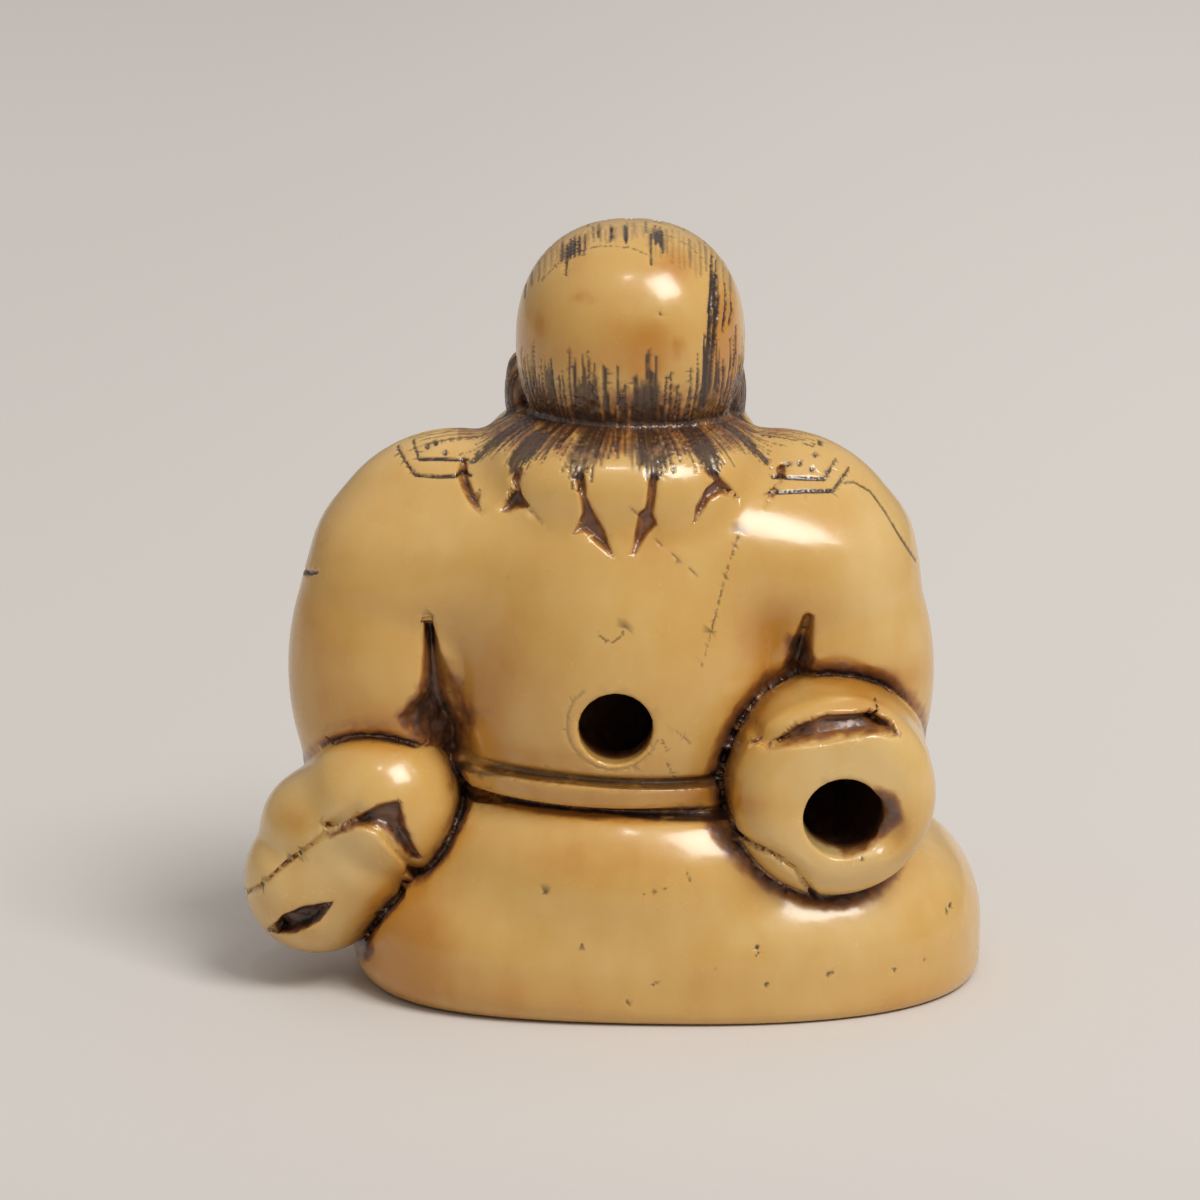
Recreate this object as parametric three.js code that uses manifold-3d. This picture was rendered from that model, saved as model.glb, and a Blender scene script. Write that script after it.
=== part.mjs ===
// A netsuke: a long-haired sage seated cross-legged, carved in one piece from ivory.
// Millimetres, +Z up. The sage faces -Y, so the back is at +Y and the left hand at +X.
// The origin is on the surface that the carving stands on, under the middle of its bounding box.
import * as THREE from "three";
import { mergeVertices } from "three/addons/utils/BufferGeometryUtils.js";
import Module from "manifold-3d";

// ---- Driving dimensions ----
const HEAD_X = -0.75; // the head sits a little to the sage's right
const HEAD_Z = 31.6; // middle of the skull
const HEAD = [5.65, 6.1, 5.95]; // half its width, depth and height, hair and all
const SHOULDER_Z = 21.7;
const SASH = { z: 11.0, tilt: 0.035, half: 0.62, out: 0.6 };
const BASE_X = -2.6; // the crossed legs spread further to the sage's right
const CORD = { back: [0, 14.5, 1.8], sleeve: [-10.9, 10.35, 2.1] }; // x, z and radius of the two cord holes
const TRIANGLES = { step: 0.62, most: 9200 }; // spacing of the first net, and how many faces are kept of it

// ---- Forms: each is a function of x, y, z that gives the distance to its surface, negative inside ----
const clamp = (v, low, high) => Math.min(high, Math.max(low, v));
const rise = (a, b, v) => {
  const t = clamp((v - a) / (b - a), 0, 1);
  return t * t * (3 - 2 * t);
};

// A ball stretched to three half-sizes; power above 2 makes it boxier.
const ball = ([cx, cy, cz], [rx, ry, rz], power = 2) => (x, y, z) => {
  const a = Math.abs(x - cx) / rx;
  const b = Math.abs(y - cy) / ry;
  const c = Math.abs(z - cz) / rz;
  const near = (a ** power + b ** power + c ** power) ** (1 / power);
  return (near * (near - 1)) / Math.max(Math.hypot(a / rx, b / ry, c / rz), 1e-6);
};

// A rod with round ends whose radius goes from ra at a to rb at b.
const limb = ([ax, ay, az], [bx, by, bz], ra, rb = ra) => {
  const [dx, dy, dz] = [bx - ax, by - ay, bz - az];
  const square = dx * dx + dy * dy + dz * dz;
  return (x, y, z) => {
    const t = clamp(((x - ax) * dx + (y - ay) * dy + (z - az) * dz) / square, 0, 1);
    return Math.hypot(x - ax - t * dx, y - ay - t * dy, z - az - t * dz) - ra - t * (rb - ra);
  };
};

// A bent rod through points that each carry their radius.
const bent = (...points) => {
  const rods = points.slice(1).map((b, i) => limb(points[i], b, points[i][3], b[3]));
  return (x, y, z) => rods.reduce((d, rod) => Math.min(d, rod(x, y, z)), Infinity);
};

// A thick round disc that faces +Y, its edge rounded over.
const puck = ([cx, cy, cz], radius, half, edge) => (x, y, z) => {
  const a = Math.hypot(x - cx, z - cz) - radius + edge;
  const b = Math.abs(y - cy) - half + edge;
  return Math.min(Math.max(a, b), 0) + Math.hypot(Math.max(a, 0), Math.max(b, 0)) - edge;
};

// A form turned by some degrees about an axis through a point.
const turned = (form, [cx, cy, cz], axis, degrees) => {
  const q = new THREE.Quaternion().setFromAxisAngle(
    new THREE.Vector3(...axis).normalize(),
    THREE.MathUtils.degToRad(-degrees),
  );
  const p = new THREE.Vector3();
  return (x, y, z) => {
    p.set(x - cx, y - cy, z - cz).applyQuaternion(q);
    return form(p.x + cx, p.y + cy, p.z + cz);
  };
};

const softMin = (a, b, k) => {
  const h = Math.max(k - Math.abs(a - b), 0) / k;
  return Math.min(a, b) - (h * h * k) / 4;
};

// Forms run together, with a fillet about k wide.
const blend = (k, ...forms) => (x, y, z) =>
  forms.map((f) => f(x, y, z)).reduce((a, b) => softMin(a, b, k));

const carve = (k, form, ...tools) => (x, y, z) =>
  tools.reduce((d, tool) => -softMin(-d, tool(x, y, z), k), form(x, y, z));

// A form set on a ground that is cut back in a groove round it.
const nestle = (ground, form, depth, width, k = 0.3) => (x, y, z) => {
  const f = form(x, y, z);
  return softMin(ground(x, y, z) + depth * (1 - rise(0, width, Math.abs(f))), f, k);
};

const BACK = 1;
const FRONT = -1;

// Furrows cut in the back or the front of a form. Each follows a path of [x, z, half-width] points.
const furrow = (form, side, depth, path) => (x, y, z) => {
  const ground = form(x, y, z);
  if (y * side < 0) return ground;
  let nearest = 1;
  for (let i = 0; i + 1 < path.length; i++) {
    const [ax, az, aw] = path[i];
    const [bx, bz, bw] = path[i + 1];
    const [dx, dz] = [bx - ax, bz - az];
    const t = clamp(((x - ax) * dx + (z - az) * dz) / (dx * dx + dz * dz), 0, 1);
    nearest = Math.min(nearest, Math.hypot(x - ax - t * dx, z - az - t * dz) / (aw + t * (bw - aw)));
  }
  return ground + depth * (1 - rise(0, 1, nearest));
};

const onBothSides = (make) => [make(1), make(-1)];

// ---- The body ----
// The robe over the crossed legs: an oval cushion with upright sides, its edge rounded over above and below.
function cushion() {
  const [halfX, back, front] = [15.85, 12.05, 11.2];
  const wall = { low: 0.8, high: 2.6, top: 7.6, bottom: -0.2 };
  return (x, y, z) => {
    const px = Math.abs(x - BASE_X);
    const py = Math.abs(y - 0.1);
    const left = rise(-6, 10, x); // boxier there, and more rounded below
    const low = wall.low + 0.9 * left;
    const power = 2.55 + 0.4 * left;
    const oval = ((px / halfX) ** power + (py / (y > 0.1 ? back : front)) ** power) ** (1 / power);
    const out = Math.hypot(px, py) * (1 - 1 / Math.max(oval, 0.05));
    const high = z > wall.high;
    const inset = high ? 5.5 : low - wall.bottom;
    const reach = high ? wall.top - wall.high : inset;
    const dz = high ? z - wall.high : Math.max(low - z, 0);
    const a = Math.max(out + inset, 0) / inset;
    const b = dz / reach;
    const near = Math.hypot(a, b);
    const slope = Math.hypot(a / inset, b / reach);
    return near < 1e-3 ? -reach : (near * (near - 1)) / slope;
  };
}

// The shins crossed in front, under the robe: the right one lies over the left.
function shins() {
  const right = bent([-13.6, -4.6, 3.5, 3.3], [-6.0, -9.0, 3.6, 3.1], [3.6, -9.7, 2.9, 2.5]);
  const left = bent([8.4, -4.4, 3.9, 3.5], [3.4, -8.4, 3.2, 2.7]);
  return blend(0.5, right, left);
}

function arm(side) {
  const shoulder = ball([side * 7.8, 0.9, 20.1], [7.0, 5.2, 7.2]);
  const elbow = side > 0 ? [10.5, 2.5, 15.6] : [-10.1, 2.5, 15.4]; // the left one stands out a little more
  return blend(0.8, shoulder, ball(elbow, [5.7, 5.1, 8.9]));
}

function trunk() {
  const back = ball([0, 0.4, 16], [9.8, 10.2, 12.5]);
  const front = ball([0, 0.4, 16], [9.8, 8.2, 12.5]);
  return (x, y, z) => (y > 0.4 ? back(x, y, z) : front(x, y, z));
}

function torso() {
  const yoke = limb([-7.2, 0.7, SHOULDER_Z], [7.2, 0.7, SHOULDER_Z], 4.9);
  const blades = ball([0, 1.2, 21], [13.6, 7.4, 5.8], 2.3);
  const middle = trunk();
  const arms = onBothSides(arm);
  return (x, y, z) => {
    const back = softMin(softMin(middle(x, y, z), yoke(x, y, z), 2), blades(x, y, z), 1.2);
    const join = 0.4 + 2.4 * rise(17, 21, z) * (1 - rise(22, 26, z)); // the arms part from the back lower down
    return arms.reduce((d, f) => softMin(d, f(x, y, z), join), back);
  };
}

// A flat sash round the waist.
function sash() {
  const waist = trunk();
  return (x, y, z) => {
    const across = Math.abs(z - SASH.z - SASH.tilt * x) - SASH.half;
    return -softMin(-(waist(x, y, z) - SASH.out), -across, 0.35);
  };
}

// ---- The sleeves, gathered in at the elbows ----
function leftSleeve() {
  const pouch = limb([11.5, 5.4, 9.4], [14.0, 4.2, 7.2], 3.95, 3.5);
  const upperFold = blend(0.8, pouch, ball([14.2, 3.8, 8.0], [3.25, 4.2, 2.8]));
  const rightEdge = (x, y, z) => x - 10.2 + 0.25 * (z - 6.4);
  const lobe = carve(0.25, limb([12.9, 5.2, 6.9], [14.75, 4.4, 5.25], 3.35, 3.7), rightEdge);
  let form = blend(0.25, upperFold, lobe);
  const recess = [[13.4, 9.1, 0.3], [11.8, 9.8, 0.75], [10.7, 9.8, 1.0], [10.0, 8.6, 0.85], [9.9, 6, 0.6]];
  form = furrow(form, BACK, 1.1, recess);
  form = furrow(form, BACK, 0.5, [[18.4, 4.6, 0.4], [15.8, 6.8, 0.45], [13.4, 9.1, 0.4]]);
  return furrow(form, BACK, 0.6, [[16.9, 3.1, 0.3], [15.4, 4.1, 0.5], [13.7, 4.6, 0.3]]);
}

function rightSleeve() {
  const roll = turned(puck([-10.3, 7.9, 11.05], 4.95, 3.9, 2.0), [-10.3, 7.9, 11.05], [0, 0, 1], 7);
  const towardElbow = limb([-10.9, 3.0, 11.6], [-10.6, 6.4, 11.3], 4.4);
  const overFold = [[-7.2, 13.8, 0.4], [-10, 14.5, 0.8], [-12, 14.8, 0.8], [-13.8, 14.3, 0.4]];
  const underFold = [[-5.4, 9.2, 0.35], [-7.4, 8.4, 0.4], [-8.4, 7.6, 0.4], [-9.3, 6.2, 0.35]];
  let form = furrow(blend(1.5, roll, towardElbow), BACK, 0.8, overFold);
  form = furrow(form, BACK, 0.35, underFold);
  return carve(0.5, form, bent([-11.2, 12.6, 10, 2.1], [-13.6, 12, 9.3, 1.2]));
}

// The forearms rest in the lap inside the sleeves.
function forearms() {
  return onBothSides((side) => {
    const cuff = [side * 4.9, -8.0, 11.2];
    const sleeve = bent([side * 11.5, 1.6, 10.8, 4.05], [side * 9.0, -5.0, 10.9, 3.7], [...cuff, 3.1]);
    const fall = ball([side * 8.2, -6.0, 8.4], [4.0, 3.8, 3.8]);
    const mouth = ball([side * 3.1, -9.7, 11.0], [2.2, 2.0, 2.3]);
    return carve(0.9, blend(1.5, sleeve, fall), mouth);
  });
}

// The hands lie one over the other, the left on top.
function hands() {
  const palms = onBothSides((side) => bent([side * 4.6, -8.2, 11.0, 1.5], [side * 1.4, -9.8, 10.6, 1.45]));
  const fingers = [0, 1, 2, 3].map((i) =>
    bent([0.8, -11.0, 11.7 - 0.75 * i, 0.5], [-2.6 + 0.25 * i, -10.6, 11.5 - 0.78 * i, 0.44]),
  );
  return blend(0.25, ...palms, ...fingers, limb([0.5, -9.6, 12.1], [-1.9, -9.3, 12.4], 0.6, 0.5));
}

// ---- The head ----
function skull() {
  const crown = ball([HEAD_X, 0, HEAD_Z], HEAD, 2.25);
  const nape = limb([HEAD_X, 0.5, 30.6], [HEAD_X, 0.9, 27.6], 4.9, 4.4);
  const face = ball([HEAD_X, -2.0, 29.6], [4.5, 4.75, 5.4]);
  return blend(0.5, crown, nape, face);
}

function ears() {
  return [4.7, -5.7].map((x) => {
    const shell = ball([x, -1.2, 28.9], [0.85, 1.4, 1.95]);
    const hollow = ball([x + (x > 0 ? 0.5 : -0.5), -1.7, 29.2], [0.55, 0.7, 1.0]);
    return carve(0.2, shell, hollow);
  });
}

// A calm, even face: eyes half-way down the head, nose and mouth at the thirds below.
function features(head) {
  const brows = onBothSides((s) =>
    limb([HEAD_X + s * 0.8, -6.35, 31.95], [HEAD_X + s * 3.3, -5.0, 32.0], 0.55, 0.45),
  );
  const sockets = onBothSides((s) => ball([HEAD_X + s * 1.95, -7.1, 31.0], [1.45, 1.1, 0.85]));
  const eyes = onBothSides((s) => ball([HEAD_X + s * 1.95, -5.7, 30.85], [1.2, 0.85, 0.62]));
  const nose = bent([HEAD_X, -6.2, 31.5, 0.5], [HEAD_X, -7.3, 29.3, 0.75]);
  const wings = onBothSides((s) => ball([HEAD_X + s * 0.75, -6.8, 29.15], [0.5, 0.6, 0.5]));
  const cheeks = onBothSides((s) => ball([HEAD_X + s * 2.7, -4.9, 29.2], [1.7, 1.5, 1.5]));
  let form = blend(0.8, head, ...cheeks);
  form = blend(0.5, form, ...brows);
  form = carve(0.5, form, ...sockets);
  form = blend(0.15, form, ...eyes);
  return blend(0.35, form, nose, ...wings);
}

function beard() {
  const chin = bent([HEAD_X, -5.0, 26.2, 2.1], [HEAD_X, -6.8, 23.4, 1.8], [HEAD_X + 0.1, -7.7, 19.6, 0.8]);
  const jaws = onBothSides((s) =>
    limb([HEAD_X + s * 4.2, -2.2, 28.4], [HEAD_X + s * 1.7, -5.2, 25.8], 1.1, 1.5),
  );
  const moustache = onBothSides((s) =>
    bent(
      [HEAD_X + s * 0.35, -6.9, 28.3, 0.5],
      [HEAD_X + s * 1.9, -6.5, 27.6, 0.5],
      [HEAD_X + s * 3.0, -6.0, 26.2, 0.35],
    ),
  );
  const lip = ball([HEAD_X, -6.9, 27.45], [0.9, 0.45, 0.3]);
  return blend(0.25, blend(0.8, chin, ...jaws), ...moustache, lip);
}

// The long hair behind spreads over the shoulders.
function hairCape() {
  return ball([-0.3, 0.5, 24.9], [7.5, 8.2, 3.9], 2.4);
}

function sideLocks() {
  return onBothSides((s) =>
    bent(
      [HEAD_X + s * 4.3, -1.6, 27.8, 1.2],
      [s * 6.4, -3.6, 24, 1.6],
      [s * 6.4, -5.8, 20, 1.1],
      [s * 5.6, -6.9, 16.8, 0.4],
    ),
  );
}

// Where two locks part, a nick with its apex above and its feet along the edges of their tips.
const NICKS = [
  { apex: [7.2, 26.8], feet: [[6.4, 24.3]] },
  { apex: [4.5, 26.0], feet: [[5.4, 24.6], [3.3, 24.0]] },
  { apex: [1.5, 26.2], feet: [[1.9, 23.8], [0.1, 22.7]] },
  { apex: [-1.7, 26.2], feet: [[-2.0, 24.3], [-0.8, 22.6]] },
  { apex: [-4.8, 26.0], feet: [[-3.8, 24.1], [-5.8, 25.2]] },
  { apex: [-7.8, 26.5], feet: [[-7.2, 24.8]] },
];

function locks(hair) {
  const cuts = NICKS.flatMap(({ apex, feet }) => feet.map((foot) => [[...apex, 0.55], [...foot, 0.45]]));
  return cuts.reduce((form, path) => furrow(form, BACK, 0.6, path), hair);
}

// ---- The whole figure ----
function figure() {
  let form = blend(1.0, cushion(), ball([-1, 0.8, 6], [12.8, 11.2, 7]));
  form = blend(0.6, form, shins());
  form = blend(0.5, torso(), form);
  form = blend(0.2, form, sash());
  form = furrow(form, BACK, 0.5, [[9, 10.4, 0.5], [-8, 9.8, 0.5]]);
  form = blend(0.6, form, limb([HEAD_X, -0.6, 22], [HEAD_X, -0.6, 28], 4.2), hairCape());
  form = locks(form);
  form = blend(0.25, form, features(skull()));
  form = blend(0.5, blend(0.3, form, ...ears()), ...sideLocks());
  form = blend(0.3, form, beard());
  form = blend(0.5, form, ...forearms());
  form = blend(0.3, form, hands());
  form = furrow(form, BACK, 1.3, [[9.0, 18.5, 0.3], [8.5, 15, 1.1], [8.0, 12.4, 1.5]]);
  form = furrow(form, BACK, 1.3, [[-9.2, 18.5, 0.3], [-8.8, 16, 1.0], [-7.2, 14, 0.9], [-5.6, 11.5, 0.8]]);
  form = nestle(form, leftSleeve(), 0.6, 0.9);
  return nestle(form, rightSleeve(), 0.7, 1.1);
}

// ---- From a form to a mesh ----
const AXES = [0, 1, 2];
const add = (a, b, t = 1) => a.map((v, i) => v + t * b[i]);
const unit = (axis) => AXES.map((i) => (i === axis ? 1 : 0));

// Dual net of a form: in each grid cell, a vertex for each sheet of the surface in it, and a quad round each
// grid edge that the surface crosses.
function net(form, low, high, step) {
  const n = low.map((v, i) => Math.ceil((high[i] - v) / step) + 1);
  const id = ([i, j, k]) => i + n[0] * (j + n[1] * k);
  const place = (c) => c.map((v, i) => low[i] + v * step);
  const each = (visit) => {
    for (let k = 1; k + 1 < n[2]; k++)
      for (let j = 1; j + 1 < n[1]; j++) for (let i = 1; i + 1 < n[0]; i++) visit([i, j, k]);
  };
  const value = new Float64Array(n[0] * n[1] * n[2]).fill(1);
  each((c) => (value[id(c)] = form(...place(c))));
  const inside = (c) => value[id(c)] < 0;
  const crossed = (c, axis) => inside(c) !== inside(add(c, unit(axis)));
  const edgeId = (c, axis) => 3 * id(c) + axis;

  // The crossed edges round one face of a cell, in pairs. Where all four are crossed, each pair meets at an
  // inside corner.
  const pairsOnFace = (c, u, v) => {
    const [U, V] = [unit(u), unit(v)];
    const sides = [[c, u], [c, v], [add(c, V), u], [add(c, U), v]].filter(([p, axis]) => crossed(p, axis));
    const ids = sides.map(([p, axis]) => edgeId(p, axis));
    if (ids.length < 4) return [ids];
    return inside(c) ? [[ids[0], ids[1]], [ids[2], ids[3]]] : [[ids[0], ids[3]], [ids[1], ids[2]]];
  };

  const points = [];
  const sheetOf = new Map(); // cell and edge to vertex
  const cellEdges = AXES.flatMap((axis) => {
    const [u, v] = [unit((axis + 1) % 3), unit((axis + 2) % 3)];
    return [[0, 0], [1, 0], [0, 1], [1, 1]].map(([a, b]) => [add(add([0, 0, 0], u, a), v, b), axis]);
  });
  each((c) => {
    const edges = cellEdges.map(([o, axis]) => [add(c, o), axis]).filter(([p, axis]) => crossed(p, axis));
    if (!edges.length) return;
    const sheet = new Map(edges.map(([p, axis]) => [edgeId(p, axis), edgeId(p, axis)]));
    const find = (e) => (sheet.get(e) === e ? e : find(sheet.get(e)));
    for (const axis of AXES)
      for (const far of [0, 1])
        for (const pair of pairsOnFace(add(c, unit(axis), far), (axis + 1) % 3, (axis + 2) % 3))
          if (pair.length) sheet.set(find(pair[0]), find(pair[1]));
    const sums = new Map();
    for (const [p, axis] of edges) {
      const key = find(edgeId(p, axis));
      const far = add(p, unit(axis));
      const t = value[id(p)] / (value[id(p)] - value[id(far)]);
      if (!sums.has(key)) sums.set(key, { at: points.length + sums.size, sum: [0, 0, 0], count: 0 });
      const s = sums.get(key);
      s.sum = add(s.sum, place(add(p, unit(axis), t)));
      s.count++;
      sheetOf.set(id(c) + "/" + edgeId(p, axis), s.at);
    }
    for (const s of sums.values()) points.push(s.sum.map((v) => v / s.count));
  });

  const faces = [];
  each((c) => {
    for (const axis of AXES) {
      if (!crossed(c, axis)) continue;
      const [u, v] = [unit((axis + 1) % 3), unit((axis + 2) % 3)];
      const cells = [c, add(c, u, -1), add(add(c, u, -1), v, -1), add(c, v, -1)];
      const ring = cells.map((o) => sheetOf.get(id(o) + "/" + edgeId(c, axis)));
      if (!inside(c)) ring.reverse();
      faces.push([ring[0], ring[1], ring[2]], [ring[0], ring[2], ring[3]]);
    }
  });
  return { points, faces };
}

// Moves a point onto the form's surface.
function settle(form, p) {
  const h = 0.01;
  for (let round = 0; round < 4; round++) {
    const d = form(...p);
    const slope = [0, 1, 2].map((m) => {
      const q = [...p];
      q[m] += h;
      const r = [...p];
      r[m] -= h;
      return (form(...q) - form(...r)) / (2 * h);
    });
    const square = slope.reduce((s, v) => s + v * v, 1e-9);
    const stride = clamp(d / square, -0.6, 0.6);
    for (let m = 0; m < 3; m++) p[m] -= stride * slope[m];
  }
  return p;
}

const minus = (a, b) => [a[0] - b[0], a[1] - b[1], a[2] - b[2]];
const cross = (a, b) => [a[1] * b[2] - a[2] * b[1], a[2] * b[0] - a[0] * b[2], a[0] * b[1] - a[1] * b[0]];
const dot = (a, b) => a[0] * b[0] + a[1] * b[1] + a[2] * b[2];
const facing = (a, b, c) => cross(minus(b, a), minus(c, a)); // normal of a triangle, twice its area long

// The planes round each vertex, summed up so that the squared distance to all of them is quick to find at any point.
function planesRound({ points, faces }) {
  const sums = points.map(() => new Float64Array(10));
  for (const face of faces) {
    const normal = facing(...face.map((v) => points[v]));
    const size = Math.hypot(...normal);
    const [a, b, c] = normal.map((v) => v / Math.max(size, 1e-12));
    const d = -dot([a, b, c], points[face[0]]);
    const products = [a * a, a * b, a * c, a * d, b * b, b * c, b * d, c * c, c * d, d * d];
    for (const v of face) products.forEach((p, i) => (sums[v][i] += p * size));
  }
  return sums;
}

const offPlanes = (q, [x, y, z]) =>
  q[0] * x * x + q[4] * y * y + q[7] * z * z + q[9] +
  2 * (q[1] * x * y + q[2] * x * z + q[3] * x + q[5] * y * z + q[6] * y + q[8] * z);

// The places with the finest carving keep more of their faces.
const FINE = [
  ball([HEAD_X, -6, 28.8], [5, 5, 4.5]),
  ball([-0.6, -10.4, 11], [4, 3, 3]),
  ball([-0.3, 9, 24.5], [9, 4, 2.8]),
];

// Merges vertices into their neighbours where the surface is flattest, until no more faces are left than wanted.
function thin(mesh, wanted) {
  const { points } = mesh;
  let { faces } = mesh;
  const planes = planesRound(mesh);
  const weight = points.map((p) => (FINE.some((part) => part(...p) < 0) ? 20 : 1));
  while (faces.length > wanted) {
    const round = points.map(() => []);
    faces.forEach((face) => face.forEach((v) => round[v].push(face)));
    const neighbours = round.map((list) => new Set(list.flat()));
    const merges = [];
    const price = (from, to) => {
      const away = minus(points[from], points[to]);
      return (offPlanes(planes[from], points[to]) + 4e-5 * dot(away, away)) * weight[from];
    };
    neighbours.forEach((set, from) => {
      for (const to of set) if (to !== from) merges.push([price(from, to), from, to]);
    });
    merges.sort((a, b) => a[0] - b[0]);
    const busy = new Uint8Array(points.length);
    const goesTo = new Map();
    const turnsOver = (from, to) =>
      round[from].some((face) => {
        if (face.includes(to)) return false;
        const before = facing(...face.map((v) => points[v]));
        const after = facing(...face.map((v) => points[v === from ? to : v]));
        return dot(before, after) < 0.6 * Math.hypot(...before) * Math.hypot(...after);
      });
    const most = Math.min(merges.length / 50, (faces.length - wanted) / 2);
    for (const [, from, to] of merges.slice(0, merges.length / 5)) {
      if (goesTo.size >= most) break;
      if (busy[from] || busy[to]) continue;
      const shared = [...neighbours[from]].filter((v) => neighbours[to].has(v)).length - 2;
      if (shared !== 2 || turnsOver(from, to)) continue;
      goesTo.set(from, to);
      planes[from].forEach((v, i) => (planes[to][i] += v));
      for (const v of neighbours[from]) busy[v] = 1;
      for (const v of neighbours[to]) busy[v] = 1;
    }
    if (!goesTo.size) break;
    faces = faces
      .map((face) => face.map((v) => goesTo.get(v) ?? v))
      .filter(([p, q, r]) => p !== q && q !== r && r !== p);
  }
  const used = [...new Set(faces.flat())];
  const renamed = new Map(used.map((v, i) => [v, i]));
  return { points: used.map((v) => points[v]), faces: faces.map((face) => face.map((v) => renamed.get(v))) };
}

function meshOf(form) {
  const fine = net(form, [-20, -14, -2.2], [20, 15, 39], TRIANGLES.step);
  fine.points.forEach((p) => settle(form, p));
  return thin(fine, TRIANGLES.most);
}

const wasm = await Module();
wasm.setup();

const solidOf = ({ points, faces }) =>
  new wasm.Manifold(
    new wasm.Mesh({
      numProp: 3,
      vertProperties: new Float32Array(points.flat()),
      triVerts: new Uint32Array(faces.flat()),
    }),
  );

function solidOfGeometry(geometry) {
  const bare = geometry.clone();
  bare.deleteAttribute("normal");
  bare.deleteAttribute("uv");
  const merged = mergeVertices(bare, 1e-4);
  return new wasm.Manifold(
    new wasm.Mesh({
      numProp: 3,
      vertProperties: new Float32Array(merged.attributes.position.array),
      triVerts: new Uint32Array(merged.index.array),
    }),
  );
}

function geometryOf(solid) {
  const { vertProperties, triVerts, numProp } = solid.getMesh();
  const position = [];
  for (let i = 0; i < vertProperties.length; i += numProp)
    position.push(vertProperties[i], vertProperties[i + 1], vertProperties[i + 2]);
  const geometry = new THREE.BufferGeometry();
  geometry.setAttribute("position", new THREE.Float32BufferAttribute(position, 3));
  geometry.setIndex([...triVerts]);
  geometry.computeVertexNormals();
  return geometry;
}

// A round rod along a curve through points, for cutting the cord channel.
function rod(radius, points) {
  const curve = new THREE.CatmullRomCurve3(points.map((p) => new THREE.Vector3(...p)));
  const shape = new THREE.Shape().absarc(0, 0, radius, 0, 2 * Math.PI);
  return solidOfGeometry(new THREE.ExtrudeGeometry(shape, { steps: 8, curveSegments: 10, extrudePath: curve }));
}

// The cord channel goes in at the back, bends, and comes out through the right sleeve.
function channel() {
  const [bx, bz, br] = CORD.back;
  const [sx, sz, sr] = CORD.sleeve;
  const bend = [-3.6, 2.6, 12.4];
  const fromBack = rod(br, [[bx, 14, bz], [bx, 7, bz - 0.1], bend]);
  const fromSleeve = rod(sr, [[sx, 16, sz], [sx, 9, sz], [-8.2, 3.6, 11.4], bend]);
  return fromBack.add(fromSleeve);
}

const carving = solidOf(meshOf(figure()));
const floor = solidOfGeometry(new THREE.BoxGeometry(60, 60, 4).translate(0, 0, -2));
const finished = carving.subtract(floor).subtract(channel());

const ivory = new THREE.MeshStandardMaterial({ color: 0xd9b06a, roughness: 0.25, metalness: 0 });
const netsuke = new THREE.Mesh(geometryOf(finished), ivory);
netsuke.name = "seated_sage";

const root = new THREE.Group();
root.add(netsuke);
export default root;
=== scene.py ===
import math

import bpy
import numpy as np
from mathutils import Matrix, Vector


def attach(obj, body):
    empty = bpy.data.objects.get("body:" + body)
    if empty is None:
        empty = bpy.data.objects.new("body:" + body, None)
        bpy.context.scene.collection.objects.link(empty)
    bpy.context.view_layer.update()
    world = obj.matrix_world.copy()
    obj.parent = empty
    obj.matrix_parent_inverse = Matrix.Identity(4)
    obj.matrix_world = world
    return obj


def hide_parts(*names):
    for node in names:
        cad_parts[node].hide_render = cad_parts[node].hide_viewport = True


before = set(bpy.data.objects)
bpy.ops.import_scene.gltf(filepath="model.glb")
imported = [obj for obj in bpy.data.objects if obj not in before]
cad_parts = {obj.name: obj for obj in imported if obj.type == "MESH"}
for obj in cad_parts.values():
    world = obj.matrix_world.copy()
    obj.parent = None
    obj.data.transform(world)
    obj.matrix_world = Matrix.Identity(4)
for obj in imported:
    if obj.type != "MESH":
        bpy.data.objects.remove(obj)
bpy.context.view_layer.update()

# ---- The robe over the crossed legs ----
# A netsuke is carved from one piece of ivory: here a long-haired sage, roughed out as round forms that run
# together. The robe over the crossed legs is the widest, and flat below, so that the figure sits. Sizes are in
# millimetres. A form gives the distance to its surface from points p, three rows of numbers.
SEAT = {"x": -2.6, "half": 15.85, "back": 12.05, "front": 11.2, "top": 7.6}


def rise(low, high, v):
    """From 0 at low to 1 at high, with a soft start and end."""
    t = np.clip((v - low) / (high - low), 0, 1)
    return t * t * (3 - 2 * t)


def length(*sides):
    return np.sqrt(sum(s * s for s in sides))


def ball(centre, half, power=2):
    """A ball stretched to three half-sizes; a power above 2 makes it boxier."""

    def form(p):
        sides = [abs(v - c) / h for v, c, h in zip(p, centre, half)]
        near = length(*sides) if power == 2 else sum(s**power for s in sides) ** (1 / power)
        return near * (near - 1) / np.maximum(length(*(s / h for s, h in zip(sides, half))), 1e-6)

    return form


def limb(*points):
    """A bent rod through points that each carry their radius."""

    def form(p):
        nearest = np.full_like(p[0], 1e9)
        for (*a, ra), (*b, rb) in zip(points, points[1:]):
            along = [v - u for u, v in zip(a, b)]
            off = [v - u for u, v in zip(a, p)]
            t = np.clip(sum(d * o for d, o in zip(along, off)) / sum(d * d for d in along), 0, 1)
            reach = length(*(o - t * d for d, o in zip(along, off)))
            nearest = np.minimum(nearest, reach - ra - t * (rb - ra))
        return nearest

    return form


def soft_min(a, b, k):
    h = np.maximum(k - abs(a - b), 0) / k
    return np.minimum(a, b) - h * h * k / 4


def blend(k, *forms):
    """Forms run together, with a fillet about k wide."""

    def form(p):
        d = forms[0](p)
        for other in forms[1:]:
            d = soft_min(d, other(p), k)
        return d

    return form


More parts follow.
